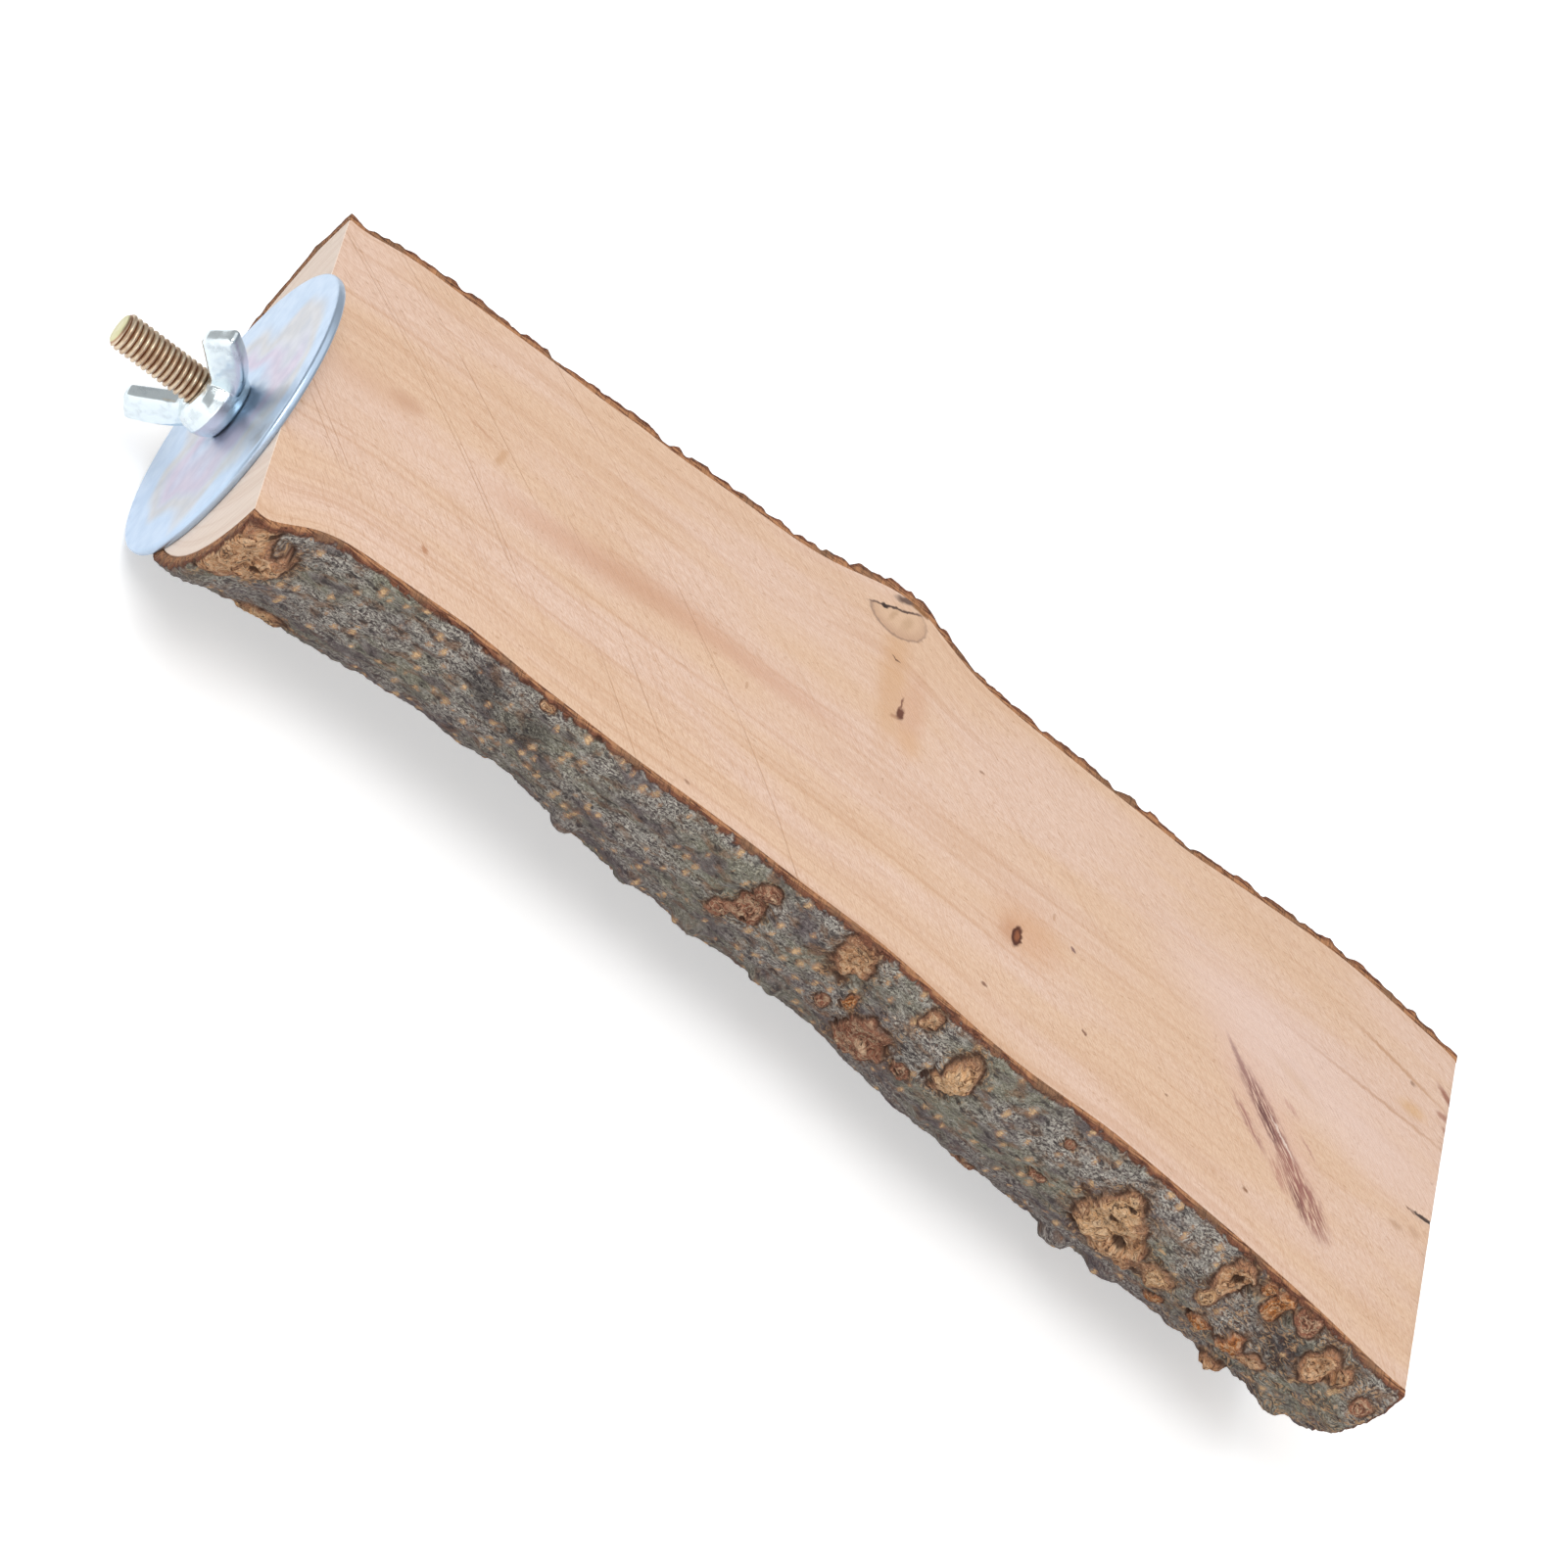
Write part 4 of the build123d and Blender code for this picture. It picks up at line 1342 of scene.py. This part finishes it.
@dataclass
class Washer:
    """A stamped fender washer with a rolled rim."""

    hole: float = 3.3
    rim: float = 25.0
    thickness: float = 1.5
    rim_round: float = 0.55
    hole_round: float = 0.2
    steps: int = 160
    finish: ZincCoat = PassivatedZinc()

    def build(self) -> bpy.types.Object:
        """Model the washer.

        Returns:
            The piece.
        """
        mesh = bmesh.new()
        corners = ((0, self.hole), (0, self.rim), (-self.thickness, self.rim), (-self.thickness, self.hole))
        points = [mesh.verts.new((x, radius, 0)) for x, radius in corners]
        runs = [mesh.edges.new(pair) for pair in zip(points, points[1:] + points[:1])]
        bmesh.ops.spin(
            mesh, geom=points + runs, cent=(0, 0, 0), axis=(1, 0, 0), angle=math.tau, steps=self.steps,
            use_merge=True,
        )
        bmesh.ops.remove_doubles(mesh, verts=mesh.verts, dist=0.001)
        for radius, offset, segments in ((self.rim, self.rim_round, 5), (self.hole, self.hole_round, 2)):
            edges = [edge for edge in mesh.edges if self.is_corner(edge, radius)]
            bmesh.ops.bevel(
                mesh, geom=edges, offset=offset, affect="EDGES", segments=segments, profile=0.5, material=-1
            )
        bmesh.ops.scale(mesh, vec=(MM, MM, MM), verts=mesh.verts)
        piece = as_piece("washer_stamped", mesh, self.finish.material(), sharp=50)
        settle(piece, Body.WASHER, "washer")
        return piece

    @staticmethod
    def is_corner(edge: bmesh.types.BMEdge, radius: float) -> bool:
        """Whether an edge runs round the washer at a radius.

        Args:
            edge: The edge.
            radius: The radius.

        Returns:
            True if it does.
        """
        ends = [math.hypot(vert.co.y, vert.co.z) for vert in edge.verts]
        level = abs(edge.verts[0].co.x - edge.verts[1].co.x) < 1e-4
        return level and all(abs(end - radius) < 1e-3 for end in ends)


@dataclass(frozen=True)
class EarSection:
    """One section of a wing: its centre out from the axis and up from the base, its lean and its size."""

    out: float
    up: float
    lean: float
    width: float
    thickness: float


@dataclass
class WingNut:
    """A forged wing nut: domed hub, two stout flared ears that run into it, and a threaded bore."""

    RIDGE = 0.7
    seat: float = -1.5
    height: float = 6.3
    turn: float = 20.0
    hub: tuple[tuple[float, float], ...] = (
        (0.0, 4.5), (0.4, 4.95), (1.6, 5.7), (3.0, 6.0), (4.5, 5.75), (5.7, 5.15), (6.3, 4.3),
    )
    ear: tuple[EarSection, ...] = (
        EarSection(1.2, 3.5, 6.0, 5.0, 3.4),
        EarSection(5.3, 4.0, 21.6, 4.9, 3.2),
        EarSection(8.25, 5.75, 32.0, 5.8, 3.0),
        EarSection(11.1, 8.0, 41.0, 6.1, 2.9),
        EarSection(14.04, 10.965, 58.0, 5.8, 2.8),
    )
    hub_steps: int = 72
    steps_between: int = 4
    ear_round: float = 0.85
    voxel: float = 0.15
    melt_factor: float = 0.5
    melt_rounds: int = 5
    thread: Thread = M6_THREAD
    thread_gap: float = 0.1
    mouth: float = 3.35
    finish: ZincCoat = ZincCoat()

    def build(self) -> bpy.types.Object:
        """Model the wing nut.

        Returns:
            The piece.
        """
        body = bmesh.new()
        self.add_hub(body)
        for side in (0, 180):
            self.add_ear(body, self.turn + side)
        blank = self.temporary("nut_blank", body)
        blank.modifiers.new("fuse", "REMESH").voxel_size = self.voxel * MM
        melt = blank.modifiers.new("melt", "SMOOTH")
        melt.factor, melt.iterations = self.melt_factor, self.melt_rounds
        tap = bmesh.new()
        self.add_tap(tap)
        cutter = self.temporary("nut_tap", tap)
        bore = blank.modifiers.new("bore", "BOOLEAN")
        bore.operation, bore.solver, bore.object = "DIFFERENCE", "EXACT", cutter
        finished = bmesh.new()
        graph = bpy.context.evaluated_depsgraph_get()
        finished.from_object(blank, graph)
        for helper in (blank, cutter):
            bpy.data.objects.remove(helper)
        piece = as_piece("wing_nut_forged", finished, self.finish.material(), sharp=60)
        settle(piece, Body.WING_NUT, "wing_nut")
        return piece

    @staticmethod
    def temporary(name: str, mesh: bmesh.types.BMesh) -> bpy.types.Object:
        """Make a helper object.

        Args:
            name: Its name.
            mesh: Bmesh in millimetres, freed here.

        Returns:
            The object.
        """
        bmesh.ops.recalc_face_normals(mesh, faces=mesh.faces)
        bmesh.ops.scale(mesh, vec=(MM, MM, MM), verts=mesh.verts)
        data = bpy.data.meshes.new(name)
        mesh.to_mesh(data)
        mesh.free()
        helper = bpy.data.objects.new(name, data)
        bpy.context.scene.collection.objects.link(helper)
        return helper

    def add_hub(self, mesh: bmesh.types.BMesh) -> None:
        """Spin the hub's profile, closed on the axis.

        Args:
            mesh: Bmesh that takes the hub.
        """
        outline = [(self.hub[0][0], 0.0), *self.hub, (self.hub[-1][0], 0.0)]
        points = [mesh.verts.new((self.seat - up, radius, 0)) for up, radius in outline]
        runs = [mesh.edges.new(pair) for pair in zip(points, points[1:])]
        bmesh.ops.spin(
            mesh, geom=points + runs, cent=(0, 0, 0), axis=(1, 0, 0), angle=math.tau, steps=self.hub_steps,
            use_merge=True,
        )
        bmesh.ops.remove_doubles(mesh, verts=mesh.verts, dist=0.001)

    def add_ear(self, mesh: bmesh.types.BMesh, turn: float) -> None:
        """Grow one ear out of the hub, section by section, and round its edges.

        Args:
            mesh: Bmesh that takes the ear.
            turn: Degrees about the bolt's axis from straight up.
        """
        others = set(mesh.verts)
        frames = [self.section_frame(section) for section in self.sections()]
        root = bmesh.ops.create_grid(mesh, x_segments=1, y_segments=1, size=0.5)["verts"]
        bmesh.ops.transform(mesh, matrix=frames[0], verts=root)
        front = list(root[0].link_faces)
        for before, after in zip(frames, frames[1:]):
            made = bmesh.ops.extrude_face_region(mesh, geom=front, use_keep_orig=before is frames[0])
            front = [item for item in made["geom"] if isinstance(item, bmesh.types.BMFace)]
            bmesh.ops.transform(mesh, matrix=after @ before.inverted(), verts=verts_of(made))
        skin = [vert for vert in mesh.verts if vert not in others]
        bmesh.ops.recalc_face_normals(mesh, faces=each(face for vert in skin for face in vert.link_faces))
        edges = each(edge for vert in skin for edge in vert.link_edges)
        ridges = [edge for edge in edges if edge.calc_face_angle(0) > self.RIDGE]
        bmesh.ops.bevel(
            mesh, geom=ridges, offset=self.ear_round, affect="EDGES", segments=3, profile=0.5, material=-1
        )
        skin = [vert for vert in mesh.verts if vert not in others]
        bmesh.ops.transform(mesh, matrix=Matrix.Rotation(math.radians(turn), 4, "X"), verts=skin)

    def sections(self) -> list[EarSection]:
        """The ear's sections with more between them, on a smooth curve through each of their sizes.

        Returns:
            The sections from the hub to the tip.
        """
        rows = [(part.out, part.up, part.lean, part.width, part.thickness) for part in self.ear]
        rows = [rows[0], *rows, rows[-1]]
        found = []
        for ahead, start, end, behind in zip(rows, rows[1:], rows[2:], rows[3:]):
            for step in range(self.steps_between):
                found.append(EarSection(*self.curve(ahead, start, end, behind, step / self.steps_between)))
        return [*found, self.ear[-1]]

    @staticmethod
    def curve(ahead: Sizes, start: Sizes, end: Sizes, behind: Sizes, share: float) -> list[float]:
        """Sizes at a share of the way from one row to the next, on a smooth curve through all the rows.

        Args:
            ahead: Row before the start.
            start: Row that the curve leaves.
            end: Row that it reaches.
            behind: Row after the end.
            share: Share of the way.

        Returns:
            The sizes.
        """
        found = []
        for a, b, c, d in zip(ahead, start, end, behind):
            bend = (2 * a - 5 * b + 4 * c - d) * share + (3 * b - a - 3 * c + d) * share * share
            found.append(b + share * (c - a + bend) / 2)
        return found

    def section_frame(self, section: EarSection) -> Matrix:
        """Transform of a unit square to a section of the ear that points straight up.

        Args:
            section: The section.

        Returns:
            The transform.
        """
        place = Matrix.Translation((self.seat - section.up, 0, section.out))
        lean = Matrix.Rotation(math.radians(-section.lean), 4, "Y")
        size = Matrix.Diagonal((section.width, section.thickness, 1, 1))
        return place @ lean @ size

    def add_tap(self, mesh: bmesh.types.BMesh) -> None:
        """Make the form that cuts the bore: the stud's thread with clearance, wider at both mouths.

        Args:
            mesh: Bmesh that takes the form.
        """
        start, end = self.seat + 1, self.seat - self.height - 1
        verts = self.thread.wind(mesh, start, end, self.thread_gap)
        for vert in verts:
            radius = math.hypot(vert.co.y, vert.co.z)
            past = max(vert.co.x - self.seat, self.seat - self.height - vert.co.x)
            least = self.mouth + past
            if radius < least:
                vert.co.yz = (vert.co.y * least / radius, vert.co.z * least / radius)
        for x in (start, end):
            bmesh.ops.edgeloop_fill(mesh, edges=loop_at(verts, x))


@dataclass(frozen=True)
class Softbox:
    """A square lamp: its name, where it hangs from the aim, the length of its side, its power in watts."""

    name: str
    place: tuple[float, float, float]
    side: float
    power: float


@dataclass
class Studio:
    """Pale floor, soft light and the camera of the photograph."""

    aim: tuple[float, float, float] = (102.41, 8.51, 0.0)
    distance: float = 1465.2
    azimuth: float = -20.98
    elevation: float = 33.42
    roll: float = -48.79
    focal_length: float = 224.86
    sensor: float = 36.0
    clip: tuple[float, float] = (50.0, 60000.0)
    floor_size: float = 40000.0
    floor_gap: float = 0.2
    world_level: float = 0.5
    floor_lift: float = 0.45
    white: str = "#FFFFFF"
    paper: str = "#EDEDED"
    lamps: tuple[Softbox, ...] = (
        Softbox("key", (-480, -620, 1080), 600, 7.5),
        Softbox("fill", (300, -1500, 450), 1000, 7.0),
        Softbox("top", (0, 200, 1500), 1600, 5.0),
    )

    def build(self) -> None:
        """Set the floor, the lights, the world and the camera."""
        self.add_floor()
        for box in self.lamps:
            self.add_lamp(box)
        self.add_world()
        self.add_camera()
        bpy.context.scene.view_settings.view_transform = "Standard"

    def add_floor(self) -> None:
        """Lay a white floor just under the lowest point."""
        mesh = bmesh.new()
        bmesh.ops.create_grid(mesh, x_segments=1, y_segments=1, size=self.floor_size * MM / 2)
        level = CAD_BOX[0].z - self.floor_gap * MM
        bmesh.ops.translate(mesh, vec=(self.aim[0] * MM, 0, level), verts=mesh.verts)
        shader = Shader(bpy.data.materials.new("white paper"))
        path = shader.add(Kind.LIGHT_PATH)
        seen = shader.add(Kind.MATH, (path, "Is Camera Ray"), (path, "Is Glossy Ray"), operation="MAXIMUM")
        lift = shader.add(Kind.EASE, seen, 0.0, 1.0, 0.0, self.floor_lift)
        paper = shader.finish(
            Base_Color=self.paper, Roughness=1.0, Specular_IOR_Level=0.0,
            Emission_Color=self.white, Emission_Strength=lift,
        )
        as_piece("floor", mesh, paper, sharp=30)

    def add_lamp(self, box: Softbox) -> None:
        """Hang a softbox that looks at the perch's middle.

        Args:
            box: The softbox.
        """
        lamp = bpy.data.lights.new(box.name, "AREA")
        lamp.size, lamp.energy = box.side * MM, box.power
        holder = bpy.data.objects.new(box.name, lamp)
        bpy.context.scene.collection.objects.link(holder)
        holder.location = (Vector(self.aim) + Vector(box.place)) * MM
        holder.rotation_mode = "QUATERNION"
        holder.rotation_quaternion = (-Vector(box.place)).to_track_quat("-Z", "Y")

    def add_world(self) -> None:
        """Light the room evenly."""
        shader = Shader(bpy.data.worlds.new("studio"))
        light = shader.add(Kind.BACKGROUND, self.white, self.world_level)
        shader.add(Kind.WORLD, light)
        bpy.context.scene.world = shader.owner

    def add_camera(self) -> None:
        """Stand the camera where the photograph was taken from."""
        data = bpy.data.cameras.new("camera")
        data.lens, data.sensor_width = self.focal_length, self.sensor
        data.clip_start, data.clip_end = (end * MM for end in self.clip)
        camera = bpy.data.objects.new("camera", data)
        bpy.context.scene.collection.objects.link(camera)
        side, rise = math.radians(self.azimuth), math.radians(self.elevation)
        back = Vector((math.sin(side) * math.cos(rise), -math.cos(side) * math.cos(rise), math.sin(rise)))
        camera.location = (Vector(self.aim) + back * self.distance) * MM
        camera.rotation_mode = "QUATERNION"
        level = (-back).to_track_quat("-Z", "Y")
        camera.rotation_quaternion = level @ Matrix.Rotation(math.radians(-self.roll), 3, "Z").to_quaternion()
        bpy.context.scene.camera = camera


def main() -> None:
    """Build the perch piece by piece, then the studio."""
    logging.basicConfig(level=logging.INFO, format="%(name)s: %(message)s")
    log = LogForm()
    WoodSlab().build(log)
    Bark().build(log)
    HangerBolt().build()
    Washer().build()
    WingNut().build()
    Studio().build()


if __name__ == "__main__":
    main()
